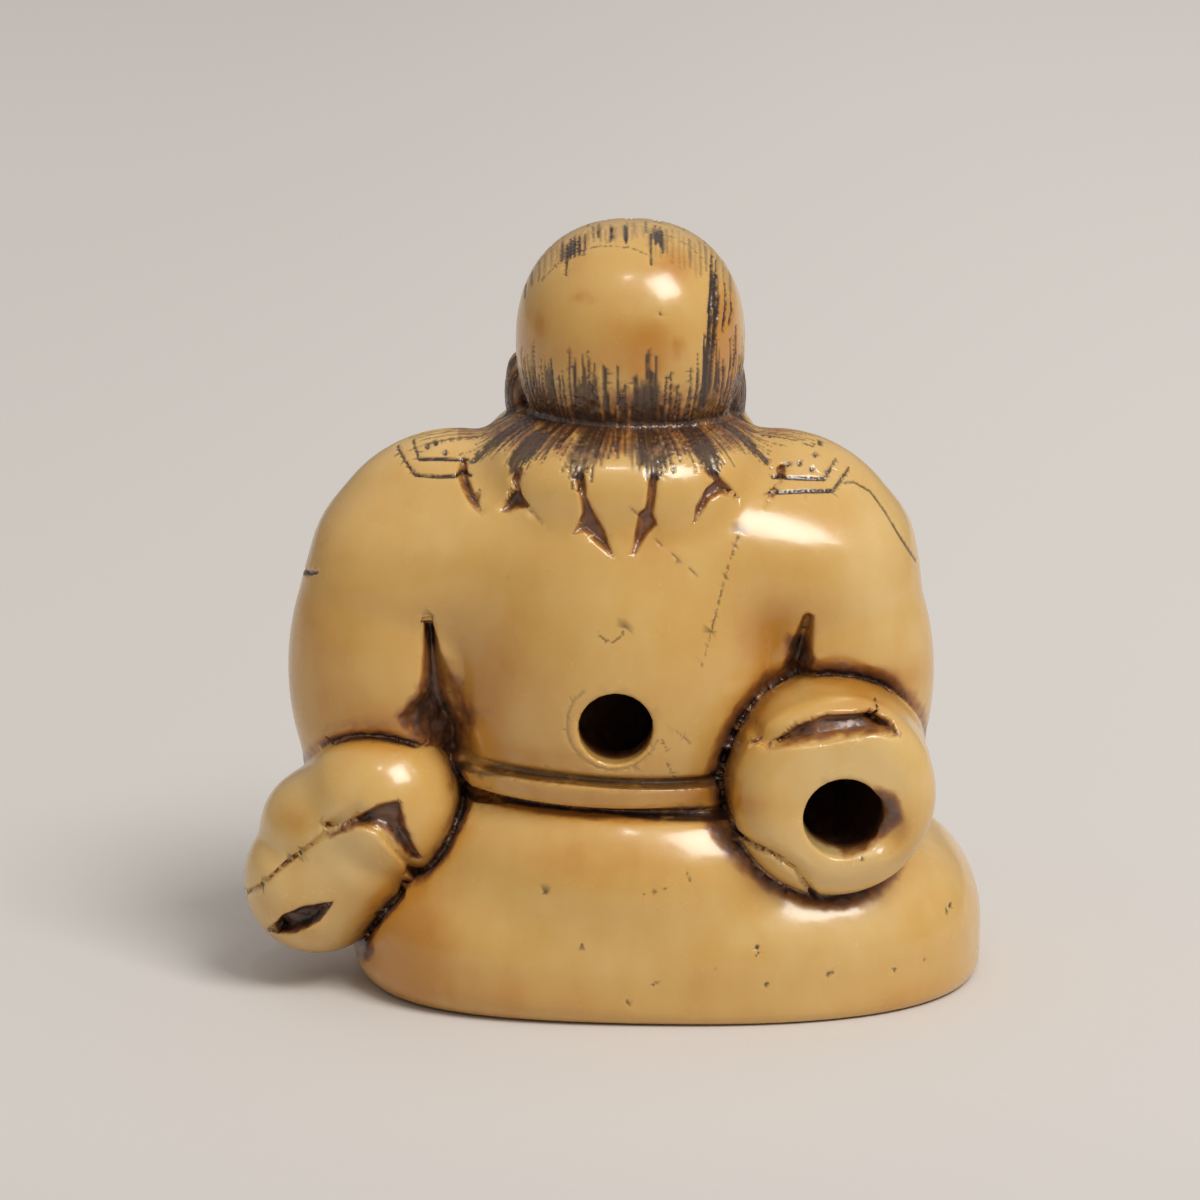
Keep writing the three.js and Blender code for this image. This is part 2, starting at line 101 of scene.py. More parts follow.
def carve(k, ground, *tools):
    """A form with others cut away from it."""

    def form(p):
        d = ground(p)
        for tool in tools:
            d = -soft_min(-d, tool(p), k)
        return d

    return form


def cushion(p):
    x, y = abs(p[0] - SEAT["x"]), abs(p[1] - 0.1)
    left = rise(-6, 10, p[0])
    low, bottom, high = 0.8 + 0.9 * left, -0.2, 2.6  # the upright wall runs from low to high
    power = 2.55 + 0.4 * left
    depth = np.where(p[1] > 0.1, SEAT["back"], SEAT["front"])
    oval = ((x / SEAT["half"]) ** power + (y / depth) ** power) ** (1 / power)
    out = length(x, y) * (1 - 1 / np.maximum(oval, 0.05))
    over = p[2] > high
    inset = np.where(over, 5.5, low - bottom)
    reach = np.where(over, SEAT["top"] - high, low - bottom)
    a = np.maximum(out + inset, 0) / inset
    b = np.where(over, p[2] - high, np.maximum(low - p[2], 0)) / reach
    near = length(a, b)
    return np.where(near < 1e-3, -reach, near * (near - 1) / np.maximum(length(a / inset, b / reach), 1e-6))


def shins():
    right = limb([-13.6, -4.6, 3.5, 3.3], [-6.0, -9.0, 3.6, 3.1], [3.6, -9.7, 2.9, 2.5])
    left = limb([8.4, -4.4, 3.9, 3.5], [3.4, -8.4, 3.2, 2.7])
    return blend(0.5, right, left)


def seat():
    return blend(0.6, blend(1.0, cushion, ball([-1, 0.8, 6], [12.8, 11.2, 7])), shins())


# ---- Back, shoulders and upper arms ----
# The robe lies close on a stout back. The arms hang from broad round shoulders and part from the back
# half-way down.
def trunk(p):
    back, front = (ball([0, 0.4, 16], [9.8, depth, 12.5]) for depth in (10.2, 8.2))
    return np.where(p[1] > 0.4, back(p), front(p))


def arm(s):
    shoulder = ball([s * 7.8, 0.9, 20.1], [7.0, 5.2, 7.2])
    hanging = ball([10.5, 2.5, 15.6] if s > 0 else [-10.1, 2.5, 15.4], [5.7, 5.1, 8.9])
    return blend(0.8, shoulder, hanging)


def torso(p):
    yoke = limb([-7.2, 0.7, 21.7, 4.9], [7.2, 0.7, 21.7, 4.9])
    blades = ball([0, 1.2, 21], [13.6, 7.4, 5.8], 2.3)
    d = soft_min(soft_min(trunk(p), yoke(p), 2.0), blades(p), 1.2)
    join = 0.4 + 2.4 * rise(17, 21, p[2]) * (1 - rise(22, 26, p[2]))
    for s in (1, -1):
        d = soft_min(d, arm(s)(p), join)
    return d


# ---- The sash ----
# A flat band round the waist, left standing when the robe above and below it was cut back.
SASH = {"z": 11.0, "tilt": 0.035, "half": 0.62, "out": 0.6}


def sash(p):
    across = abs(p[2] - SASH["z"] - SASH["tilt"] * p[0]) - SASH["half"]
    return -soft_min(SASH["out"] - trunk(p), -across, 0.25)


# ---- Sleeves ----
# Wide sleeves, gathered at the elbows: a hanging pouch on the left, and on the right a thick roll that the
# cord comes out of. Where one fold lies over another, the lower one is cut back along its edge.
def off_path(path, u, v):
    """Distance to a path of [u, v, half-width] points, the half-width there, and 1 on the path's left or -1."""
    best, wide, side = np.full_like(u, 99.0), np.ones_like(u), np.ones_like(u)
    for (au, av, aw), (bu, bv, bw) in zip(path, path[1:]):
        du, dv = bu - au, bv - av
        t = np.clip(((u - au) * du + (v - av) * dv) / (du * du + dv * dv), 0, 1)
        reach = length(u - au - t * du, v - av - t * dv)
        near = reach < best
        best = np.where(near, reach, best)
        wide = np.where(near, aw + t * (bw - aw), wide)
        side = np.where(near, np.sign(du * (v - av) - dv * (u - au)), side)
    return best, wide, side


def seen(p, front):
    return p[1] < 0 if front else p[1] > 0


def furrow(ground, depth, *path, front=False):
    """A furrow along a path of [x, z, half-width] points, in the back or the front of a form."""

    def form(p):
        reach, wide, _ = off_path(path, p[0], p[2])
        return ground(p) + depth * seen(p, front) * (1 - rise(0, 1, reach / wide))

    return form


def cut_back(ground, depth, *path, front=False, edge=0.12):
    """A step along a path of [x, z, width] points: the ground on the path's left is cut back that wide."""

    def form(p):
        reach, wide, side = off_path(path, p[0], p[2])
        near = 1 - rise(0, 1, reach / np.where(side > 0, wide, edge))
        return ground(p) + depth * seen(p, front) * near

    return form


def within(p, outline):
    """How far points lie inside an outline of [x, z] points; outside it, the distance is below 0."""
    inside = np.zeros(p[0].shape, bool)
    for (au, av), (bu, bv) in zip(outline, outline[1:] + outline[:1]):
        level = (av > p[2]) != (bv > p[2])
        inside ^= level & (p[0] < au + (p[2] - av) * (bu - au) / np.where(level, bv - av, 1.0))
    closed = [[u, v, 1] for u, v in (*outline, outline[0])]
    return off_path(closed, p[0], p[2])[0] * np.where(inside, 1, -1)


def gouge(ground, depth, outline, slope=0.3, fade=(90, 91)):
    """A pit with steep sides in the back of a form, inside an outline of [x, z] points, and fading upwards."""

    def form(p):
        cut = rise(-0.08, slope, within(p, outline))
        return ground(p) + depth * (p[1] > 0) * (1 - rise(*fade, p[2])) * cut

    return form


FOLD = [
    [9.4, 7.2], [10.0, 7.3], [10.8, 8.7], [11.6, 9.25], [12.6, 9.2], [14.0, 8.5], [13.1, 9.3], [11.5, 10.4],
    [10.4, 10.6], [10.2, 9.4],
]
SLIT = [[17.2, 3.1], [16.3, 4.35], [15.2, 4.9], [13.8, 5.15], [14.5, 4.1], [15.9, 3.25]]


def left_sleeve():
    pouch = limb([11.5, 5.4, 9.4, 3.95], [14.0, 4.2, 7.2, 3.5])
    upper = blend(0.8, pouch, ball([14.2, 3.8, 8.0], [3.25, 4.2, 2.8]))
    lobe = limb([12.9, 5.2, 6.9, 3.35], [14.75, 4.4, 5.25, 3.7])
    inner, upper_edge = lambda p: p[0] - 10.2 + 0.25 * (p[2] - 6.4), lambda p: p[0] - 0.85 * p[2] - 2.6 - 1.2
    trimmed = carve(0.25, lobe, inner, upper_edge)
    form = blend(0.25, upper, trimmed)
    under_fold = [[10.2, 5.4, 0.9], [10.15, 7.1, 1.0], [11.4, 9.0, 1.3], [12.6, 9.5, 1.2], [13.9, 9.0, 0.5]]
    form = cut_back(form, 0.45, *under_fold)
    form = gouge(form, 0.6, FOLD, slope=0.35)
    form = furrow(form, 0.25, [18.4, 4.6, 0.2], [16, 7.0, 0.18], [13.9, 8.8, 0.25])
    return gouge(form, 0.8, SLIT, slope=0.3)


def roll(centre, radius, half, edge, turn):
    """A thick disc that faces backwards, its edge rounded over, turned a little to one side."""
    cx, cy, cz = centre

    def form(p):
        x = (p[0] - cx) * math.cos(turn) - (p[1] - cy) * math.sin(turn)
        y = (p[0] - cx) * math.sin(turn) + (p[1] - cy) * math.cos(turn)
        a = length(x, p[2] - cz) - radius + edge
        b = abs(y) - half + edge
        return np.minimum(np.maximum(a, b), 0) + length(np.maximum(a, 0), np.maximum(b, 0)) - edge

    return form


ROLL_FOLD = [
    [-7.2, 13.8], [-9.4, 14.2], [-11.2, 14.4], [-12.6, 14.5], [-13.6, 14.3], [-13.0, 14.9], [-12.1, 15.4],
    [-10, 15.4], [-8.6, 14.9],
]


def right_sleeve():
    form = roll((-10.3, 7.9, 11.05), 4.95, 3.9, 2.0, math.radians(-7))
    form = blend(1.5, form, limb([-10.9, 3.0, 11.6, 4.4], [-10.6, 6.4, 11.3, 4.4]))
    form = cut_back(form, 0.3, [-13.2, 14.3, 0.3], [-12.3, 14.6, 1.2], [-10.2, 14.2, 1.6], [-7.0, 13.9, 0.8])
    form = gouge(form, 0.5, ROLL_FOLD, slope=0.3)
    form = cut_back(form, 0.3, [-9.5, 6.2, 0.4], [-8.6, 7.9, 0.7], [-7.4, 8.7, 0.7], [-5.4, 9.3, 0.3])
    return carve(0.4, form, limb([-11.3, 12.2, 10.2, 1.9], [-13.0, 12.1, 9.6, 1.2]))


# ---- Forearms and hands ----
# The forearms rest in the lap inside the sleeves, and the hands lie one over the other, the left on top.
def forearm(s):
    sleeve = limb([s * 11.5, 1.6, 10.8, 4.05], [s * 9.0, -5.0, 10.9, 3.7], [s * 4.9, -8.0, 11.2, 3.1])
    fall = ball([s * 8.2, -6.0, 8.4], [4.0, 3.8, 3.8])
    return carve(0.9, blend(1.5, sleeve, fall), ball([s * 3.1, -9.7, 11.0], [2.2, 2.0, 2.3]))


def hands():
    palms = [limb([s * 4.6, -8.2, 11.0, 1.5], [s * 1.4, -9.8, 10.6, 1.45]) for s in (1, -1)]
    fingers = [
        limb([0.8, -11.0, 11.7 - 0.75 * i, 0.5], [-2.6 + 0.25 * i, -10.6, 11.5 - 0.78 * i, 0.44])
        for i in range(4)
    ]
    return blend(0.2, *palms, *fingers, limb([0.5, -9.6, 12.1, 0.6], [-1.9, -9.3, 12.4, 0.5]))


# ---- Head and face ----
# A large round head with a calm, even face: eyes half-way down, nose and mouth at the thirds below.
HEAD = {"x": -0.75, "z": 31.6, "half": (5.65, 6.1, 5.95)}


def either(make):
    """The same form on both sides of the middle of the face."""
    return make(1), make(-1)


def at(s, x, y, z, *radius):
    return [HEAD["x"] + s * x, y, z, *radius]


def skull():
    crown = ball([HEAD["x"], 0, HEAD["z"]], HEAD["half"], 2.25)
    nape = limb(at(0, 0, 0.5, 30.6, 4.9), at(0, 0, 0.9, 27.6, 4.4))
    return blend(0.5, crown, nape, ball(at(0, 0, -2.0, 29.6), [4.5, 4.75, 5.4]))


def ear(s):
    x = s * 5.2 - 0.5
    hollow = ball([x + s * 0.5, -1.7, 29.2], [0.55, 0.7, 1.0])
    return carve(0.2, ball([x, -1.2, 28.9], [0.85, 1.4, 1.95]), hollow)


def face():
    form = blend(0.8, skull(), *either(lambda s: ball(at(s, 2.7, -4.9, 29.3), [1.7, 1.5, 1.6])))
    brow = [0.9, -6.1, 32.1, 0.42], [2.3, -5.9, 32.6, 0.42], [3.8, -4.8, 32.0, 0.3]
    lid = [0.9, -6.05, 30.95, 0.14], [1.9, -6.3, 31.3, 0.2], [3.0, -5.7, 30.95, 0.14]
    form = blend(0.5, form, *either(lambda s: limb(*(at(s, *point) for point in brow))))
    form = carve(0.5, form, *either(lambda s: ball(at(s, 1.95, -7.1, 31.1), [1.45, 1.1, 0.85])))
    form = blend(0.1, form, *either(lambda s: ball(at(s, 1.95, -5.5, 30.95), [1.15, 0.85, 0.7])))
    form = blend(0.1, form, *either(lambda s: limb(*(at(s, *point) for point in lid))))
    nose = limb(at(0, 0, -6.2, 31.8, 0.4), at(0, 0, -7.0, 29.8, 0.6), at(0, 0, -7.2, 29.4, 0.68))
    form = blend(0.35, form, nose, *either(lambda s: ball(at(s, 0.72, -6.75, 29.2), [0.42, 0.55, 0.42])))
    form = carve(0.1, form, *either(lambda s: ball(at(s, 0.36, -7.2, 28.85), [0.2, 0.3, 0.2])))
    upper_lip = ball(at(0, 0, -6.5, 28.0), [1.1, 0.5, 0.26])
    return blend(0.2, form, upper_lip, ball(at(0, 0, -6.55, 27.4), [0.9, 0.55, 0.3]))


def beard():
    form = limb(at(0, 0, -5.0, 25.9, 1.9), at(0, 0, -6.8, 23.4, 1.8), at(0, 0.1, -7.7, 19.6, 0.8))
    form = blend(0.8, form, *either(lambda s: limb(at(s, 4.2, -2.2, 28.2, 1.1), at(s, 1.7, -5.2, 25.6, 1.4))))
    hairs = [0.35, -6.8, 28.4, 0.4], [1.7, -6.6, 27.8, 0.45], [2.9, -5.9, 26.2, 0.4], [3.0, -6.0, 24.4, 0.25]
    return blend(0.25, form, *either(lambda s: limb(*(at(s, *point) for point in hairs))))


# ---- Long hair ----
# The hair falls behind over the shoulders and ends in blunt locks. Where two locks part, a nick is gouged
# between them down to the robe, and its floor left rough.
NICKS = [
    [[7.4, 26.5], [7.6, 26.1], [7.7, 25.7], [7.3, 25.0], [6.9, 24.5], [6.4, 24.2], [6.6, 24.7], [6.5, 25.3],
     [6.8, 25],
     [7.15, 25.6], [7.2, 26.1]],
    [[4.55, 26.6], [4.85, 26.4], [5.0, 25.9], [4.8, 25.5], [5.2, 24.9], [5.55, 24.4], [5.15, 24.4],
     [4.7, 24.6],
     [4.25, 24.7], [3.8, 24.2], [3.25, 23.8], [3.65, 24.2], [4.1, 24.8], [4.5, 25.3], [4.6, 25.8],
     [4.4, 26.5]],
    [[1.65, 26.8], [2.0, 26.3], [1.75, 25.6], [1.65, 25.1], [1.6, 24.6], [1.8, 24.1], [2.1, 23.6],
     [1.45, 23.75],
     [1.05, 23.3], [0.5, 22.9], [0.0, 22.45], [0.25, 23.0], [0.55, 23.9], [1.1, 24.85], [1.4, 25.5],
     [1.45, 26.4]],
    [[-1.8, 26.8], [-1.55, 26.2], [-1.5, 25.5], [-1.4, 24.9], [-1.1, 24.7], [-0.95, 23.9], [-0.7, 22.4],
     [-1.05, 22.9],
     [-1.5, 23.6], [-2.0, 24.1], [-1.8, 24.6], [-1.9, 25.35], [-2.0, 26.3]],
    [[-4.2, 26.7], [-4.25, 26.4], [-4.8, 26.0], [-4.3, 25.7], [-3.85, 24.9], [-3.7, 24.0], [-4.05, 24.4],
     [-4.5, 25.1],
     [-5.0, 25.35], [-5.5, 25.15], [-6.0, 24.9], [-5.5, 25.55], [-5.0, 26.1], [-4.6, 26.7]],
    [[-7.8, 25.9], [-8.0, 25.5], [-7.5, 25.1], [-7.15, 24.5], [-7.7, 24.9], [-8.0, 25.3], [-8.3, 25.8],
     [-8.2, 26.2]],
]


def hair():
    neck = limb([HEAD["x"], -0.6, 22, 4.2], [HEAD["x"], -0.6, 28, 4.2])
    return blend(1.2, neck, ball([-0.3, 0.5, 24.9], [7.5, 8.2, 3.9], 2.4))


def side_lock(s):
    top = at(s, 4.3, -1.6, 27.8, 1.2)
    return limb(top, [s * 6.4, -3.6, 24, 1.6], [s * 6.4, -5.8, 20, 1.1], [s * 5.6, -6.9, 16.8, 0.4])


# ---- The cord channel ----
# Two holes, one in the back and one in the right sleeve, drilled to meet inside for the cord. The rim of the
# upper one has a thin line turned round it, and cord has worn the lower one's edge.
def channel():
    back = limb([0, 14, 14.5, 1.8], [0, 7, 14.4, 1.8], [-3.6, 2.6, 12.4, 1.8])
    side = limb([-10.9, 16, 10.4, 1.95], [-10.9, 9, 10.4, 1.95], [-8.2, 3.6, 11.4, 2.1],
        [-3.6, 2.6, 12.4, 2.1])
    return back, side


# ---- The whole carving ----
# All the forms are joined in the order that they lie on each other. Each sleeve is set in a chiselled groove,
# and the underside is cut off flat.
def nestle(ground, form, depth, width, low=-9, high=-8, k=0.2):
    """A form set on a ground that is cut back in a chiselled groove round it, less so from high down to low."""

    def both(p):
        f = form(p)
        wide = width * (1 + 0.12 * np.sin(1.9 * p[0] + 1.3 * p[2]))
        fade = (1 - rise(12.5, 15, abs(p[0]))) * (0.04 + 0.96 * rise(low, high, p[2]))
        return soft_min(ground(p) + depth * fade * np.clip(1 - abs(f) / wide, 0, 1) ** 1.6, f, k)

    return both


LAP_FOLDS = [
    [[-12.5, 5.2, 0.4], [-6, 5.4, 0.55], [1.5, 4.6, 0.5], [6.5, 2.6, 0.3]],
    [[-9.5, 7.6, 0.25], [-4, 7.4, 0.4], [3, 7.0, 0.4], [9, 5.2, 0.25]],
    *([[s * 13.4, 11.6, 0.3], [s * 9.4, 8.6, 0.5], [s * 7.4, 7.6, 0.3]] for s in (1, -1)),
    *([[s * 12.6, 8.6, 0.3], [s * 9.8, 6.8, 0.4], [s * 8.2, 6.6, 0.3]] for s in (1, -1)),
    *([[s * 12.4, 13.6, 0.2], [s * 9.6, 11.8, 0.4], [s * 7.4, 11.4, 0.2]] for s in (1, -1)),
]
CREASE = [
    [9.15, 19.2], [8.6, 16.1], [8.0, 14.5], [7.3, 13.5], [7.5, 12.1], [8.1, 11.2], [8.9, 12.6], [10, 13.4],
    [10.7, 14.3], [9.5, 15.6], [9.2, 17],
]


def figure():
    form = blend(0.5, torso, seat())
    form = blend(0.2, form, sash)
    form = furrow(form, 0.5, [9, 10.45, 0.4], [3, 10.2, 0.35], [-8, 9.8, 0.5])
    form = furrow(form, 0.3, [9, 12.1, 0.3], [3, 12.0, 0.3], [-8, 11.3, 0.35])
    form = blend(0.6, form, hair())
    for nick in NICKS:
        form = gouge(form, 0.38, nick, slope=0.2, fade=(25.7, 26.7))
    form = blend(0.2, form, face(), ear(1), ear(-1))
    form = blend(0.5, form, side_lock(1), side_lock(-1))
    form = blend(0.25, form, beard())
    form = blend(0.5, form, forearm(1), forearm(-1))
    form = blend(0.2, form, hands())
    form = furrow(form, 1.1, [9.1, 19.5, 0.2], [8.9, 17.5, 0.5], [8.5, 15, 1.3], [8.0, 12.4, 1.6])
    right_armpit = [[-9.3, 19.2, 0.35], [-9.0, 17.6, 0.7], [-8.7, 16, 1.2], [-7.2, 14, 0.9],
        [-5.6, 11.5, 0.7]]
    form = furrow(form, 1.1, *right_armpit)
    form = gouge(form, 0.7, CREASE, slope=0.7)
    for fold in LAP_FOLDS:
        form = furrow(form, 0.28, *fold, front=True)
    form = nestle(form, left_sleeve(), 0.7, 0.9)
    form = nestle(form, right_sleeve(), 1.0, 1.2, 8.5, 12)
    drilled = carve(0.15, form, *channel())
    return form, lambda p: -soft_min(-drilled(p), p[2], 0.25)


# ---- From forms to a mesh ----
# The carver's finished surface. It is found on a coarse net first, then split finer where forms curve tightly
# and in the sharp grooves beside the sleeves.
def net(form, low, high, step):
    """A net over a form: a point in each grid cell on the surface, and a quad round each crossed edge."""
    grid = np.array(np.meshgrid(*(np.arange(a, b, step) for a, b in zip(low, high)), indexing="ij"))
    d = form(grid.reshape(3, -1)).reshape(grid.shape[1:])
    total, count = np.zeros(grid.shape), np.zeros(d.shape)
    crossings = []
    for axis in range(3):
        far = np.roll(d, -1, axis)
        crossed = (d < 0) != (far < 0)
        a, b = d[crossed], far[crossed]
        point = grid[:, crossed]
        point[axis] += step * a / (a - b)
        cells = []
        for du, dv in ((0, 0), (1, 0), (1, 1), (0, 1)):
            cell = np.argwhere(crossed).T
            cell[(axis + 1) % 3] -= du
            cell[(axis + 2) % 3] -= dv
            cells.append(tuple(cell))
            for row in range(3):
                np.add.at(total[row], cells[-1], point[row])
            np.add.at(count, cells[-1], 1)
        crossings.append((cells, a < 0))
    used = count > 0
    number = np.cumsum(used.ravel()).reshape(used.shape) - 1
    faces = []
    for cells, outward in crossings:
        ring = np.stack([number[c] for c in cells], 1)
        ring[~outward] = ring[~outward][:, ::-1]
        faces += [ring[:, [0, 1, 2]], ring[:, [0, 2, 3]]]
    return total[:, used] / count[used], np.concatenate(faces)


def slope_of(form, p, h=0.01):
    rows = []
    for axis in range(3):
        step = np.zeros((3, 1))
        step[axis] = h
        rows.append((form(p + step) - form(p - step)) / (2 * h))
    return np.array(rows)


def settle(form, p, rounds=3):
    """Moves points onto a form's surface."""
    for _ in range(rounds):
        g = slope_of(form, p)
        stride = form(p) / np.maximum((g * g).sum(0), 1e-2)
        p = p - np.clip(stride, -0.4, 0.4) * g
    return p


def split(points, faces, choose):
    """Splits the chosen edges in the middle, and the faces beside them. The new points are added after the old
    ones.
    """
    n = points.shape[1]
    pairs = np.sort(faces[:, [[0, 1], [1, 2], [2, 0]]].reshape(-1, 2), 1)
    key, back = np.unique(pairs[:, 0] * n + pairs[:, 1], return_inverse=True)
    a, b = key // n, key % n
    chosen = choose(points, a, b)
    number = np.full(len(key), -1)
    number[chosen] = n + np.arange(chosen.sum())
    cuts = number[back].reshape(-1, 3)
    many = (cuts >= 0).sum(1)
    points = np.concatenate([points, (points[:, a[chosen]] + points[:, b[chosen]]) / 2], 1)
    out = [faces[many == 0]]
    for k in range(3):
        turn = [k, (k + 1) % 3, (k + 2) % 3]
        (p, q, r), (pq, qr, rp) = faces[:, turn].T, cuts[:, turn].T
        one = (many == 1) & (pq >= 0)
        out += [np.stack([p, pq, r], 1)[one], np.stack([pq, q, r], 1)[one]]
        two = (many == 2) & (rp < 0)
        across = edge_length(points, p, qr) < edge_length(points, pq, r)
        out += [np.stack([pq, q, qr], 1)[two]]
        out += [np.stack([p, pq, qr], 1)[two & across], np.stack([p, qr, r], 1)[two & across]]
        out += [np.stack([p, pq, r], 1)[two & ~across], np.stack([pq, qr, r], 1)[two & ~across]]
    (p, q, r), (pq, qr, rp) = faces[many == 3].T, cuts[many == 3].T
    out += [np.stack(t, 1) for t in ((p, pq, rp), (pq, q, qr), (rp, qr, r), (pq, qr, rp))]
    return points, np.concatenate(out)


def edge_length(points, a, b):
    return np.linalg.norm(points[:, a] - points[:, b], axis=0)


def off_surface(least, most):
    """Chooses long edges whose middle lies off the form, where the net is too coarse for it."""

    def choose(points, a, b):
        chosen = edge_length(points, a, b) > least
        middle = (points[:, a[chosen]] + points[:, b[chosen]]) / 2
        chosen[chosen] = abs(sage(middle)) > most
        return chosen

    return choose


NET_STEP = 0.46
FLAT_ENOUGH = 0.016  # how far the middle of an edge may lie off the form

undrilled, sage = figure()
points, faces = net(sage, (-20, -14, -1), (20, 14, 39), NET_STEP)
points = settle(sage, points)
for least in (0.25, 0.18):
    old = points.shape[1]
    points, faces = split(points, faces, off_surface(least, FLAT_ENOUGH))
    points[:, old:] = settle(sage, points[:, old:])


def beside_sleeves(p):
    return np.minimum(left_sleeve()(p), right_sleeve()(p))


def along_sleeves(points, a, b):
    """Chooses edges in the sharp groove beside the sleeves."""
    chosen = edge_length(points, a, b) > 0.17
    middle = (points[:, a[chosen]] + points[:, b[chosen]]) / 2
    gap = beside_sleeves(middle)
    chosen[chosen] = (gap > 0.03) & (gap < 0.25)
    return chosen


for _ in range(2):
    old = points.shape[1]
    points, faces = split(points, faces, along_sleeves)
    points[:, old:] = settle(sage, points[:, old:])

# ---- Engraved hair ----
# The hair is engraved line by line and the lines rubbed with black, now worn brown. It grows in a band round
# the bald back of the head, and over the crown to the forehead. Lines are drawn on the surface as if it were
# unrolled.
dice = np.random.default_rng(12)


def sheets(p):
    """Points unrolled round the head, over the crown, and flat from behind and in front, and where each holds."""
    x, y, z = p
    bare = np.minimum(ear(1)(p), ear(-1)(p)) > 0.1
    under = np.minimum(side_lock(1)(p), side_lock(-1)(p))
    around = 5.8 * np.arctan2(x - HEAD["x"], y)
    over = 6 * np.arctan2(z - HEAD["z"], y)
    return {
        "around": (around, z, (z > 24.5) & (beard()(p) > 0.2)),
        "over": (x, over, (z > 28.6) & bare & ((y > -1) | (z > 34))),
        "behind": (x, z, y > 1.5),
        "waist": (x, z, (y > 1.5) & (beside_sleeves(p) > 0.12)),
        "before": (x, z, y < 0),
        "robe": (x, z, (y < 0) & (np.minimum(under, beard()(p)) > 0.25)),
    }


LINES = {"around": [], "over": [], "behind": [], "waist": [], "before": [], "robe": []}


def line(sheet, depth, dark, *path):
    """An engraved line along a path of [u, v, half-width] points."""
    LINES[sheet].append((depth, dark, path))


HAIR_TOP = [
    [-12, 32.6], [-9.2, 33], [-8, 31.6], [-6.86, 31.4], [-5.98, 32.4], [-5.26, 31.2], [-4.6, 31.7],
    [-3.9, 32.5],
    [-3.06, 31.9], [-2.72, 30.9], [-2.28, 30.4], [-1.81, 31.3], [-1.2, 31.8], [-0.65, 32.1], [-0.4, 32.4],
    [-0.24, 31.1], [0.3, 30.8], [0.9, 31.3], [1.25, 31.0], [1.7, 31.2], [2.3, 31.8], [2.97, 31.7],
    [3.8, 31.5],
    [4.59, 31.5], [5.34, 31.6], [6.11, 31.5], [7.06, 30.9], [9.08, 31.4], [10, 32.4], [12, 32.6],
]
HAIR_TIPS = [
    [-10, 26.6], [-7.2, 27.1], [-5.83, 26.2], [-4.4, 27.2], [-2.89, 26.2], [-1.9, 27.1], [-0.78, 26.0],
    [0.5, 27.2],
    [1.7, 26.0], [2.9, 27.2], [4.13, 26.1], [5.1, 27.1], [6.17, 26.2], [7.4, 27.1], [10, 26.6],
]
DARK = [[-3.7, 0.5], [-0.85, 0.45], [2.3, 0.5], [6.2, 1.0], [-6.9, 0.8], [4.1, 0.25]]


def along(profile, u):
    return float(np.interp(u, *zip(*profile)))


u = -11.6
while u < 11.6:
    top = along(HAIR_TOP, u) + dice.normal(0, 0.4)
    heavy = max(math.exp(-(((u - c) / w) ** 2)) for c, w in DARK)
    wide = dice.uniform(0.05, 0.11) + 0.06 * heavy
    lean = dice.normal(0, 0.1)
    middle = [u + lean * 0.6, 28.3 + 0.5 * (top - 28.3), wide * dice.uniform(0.6, 1.0)]
    line("around", 0.1, dice.uniform(0.8, 1), [u + lean, top, 0.015], middle, [u, 28.35, wide])
    if dice.random() < 0.4:
        line("around", 0.08, 0.9, [u + 0.14, 29.2 + dice.uniform(0, 1.2), 0.02], [u + 0.1, 28.35, 0.07])
    u += dice.uniform(0.16, 0.36) - 0.05 * heavy
u = -10
while u < 10:
    tip = along(HAIR_TIPS, u) + dice.normal(0, 0.22)
    wide = dice.uniform(0.05, 0.09)
    bend = dice.normal(0, 0.05)
    middle = [u + bend, (28.3 + tip) / 2, wide]
    line("around", 0.1, dice.uniform(0.6, 1), [u, 28.45, wide], middle, [u * 1.02, tip, 0.015])
    u += dice.uniform(0.14, 0.26)
for c, w in DARK:
    for _ in range(4):
        v = c + dice.normal(0, w * 0.55)
        line("around", 0.05, 0.8, [v, 30.6 + dice.normal(0, 0.4), 0.03], [v, 29.6, 0.16], [v, 28.4, 0.2])
for stem in (6.3, 4.13, 1.7, -0.78, -2.95, -5.9):
    line("around", 0.12, 0.9, [stem * 0.98, 28.4, 0.12], [stem, 27.2, 0.2], [stem * 1.01, 26.3, 0.14])
    for off in (-0.42, -0.25, 0.24, 0.4):
        low = 26.1 + abs(off) + dice.uniform(-0.1, 0.3)
        tip = [stem + off * 0.9, low, 0.02]
        line("around", 0.1, 0.95, [stem * 0.98 + off, 28.3, 0.08], [stem + off, 27.2, 0.1], tip)
line("around", 0.06, 0.9, [9.5, 31.3, 0.1], [9.9, 29.6, 0.5], [9.7, 28.2, 0.7])
line("around", 0.06, 0.9, [-9.3, 31.0, 0.1], [-9.7, 29.6, 0.5], [-9.5, 27.9, 0.7])

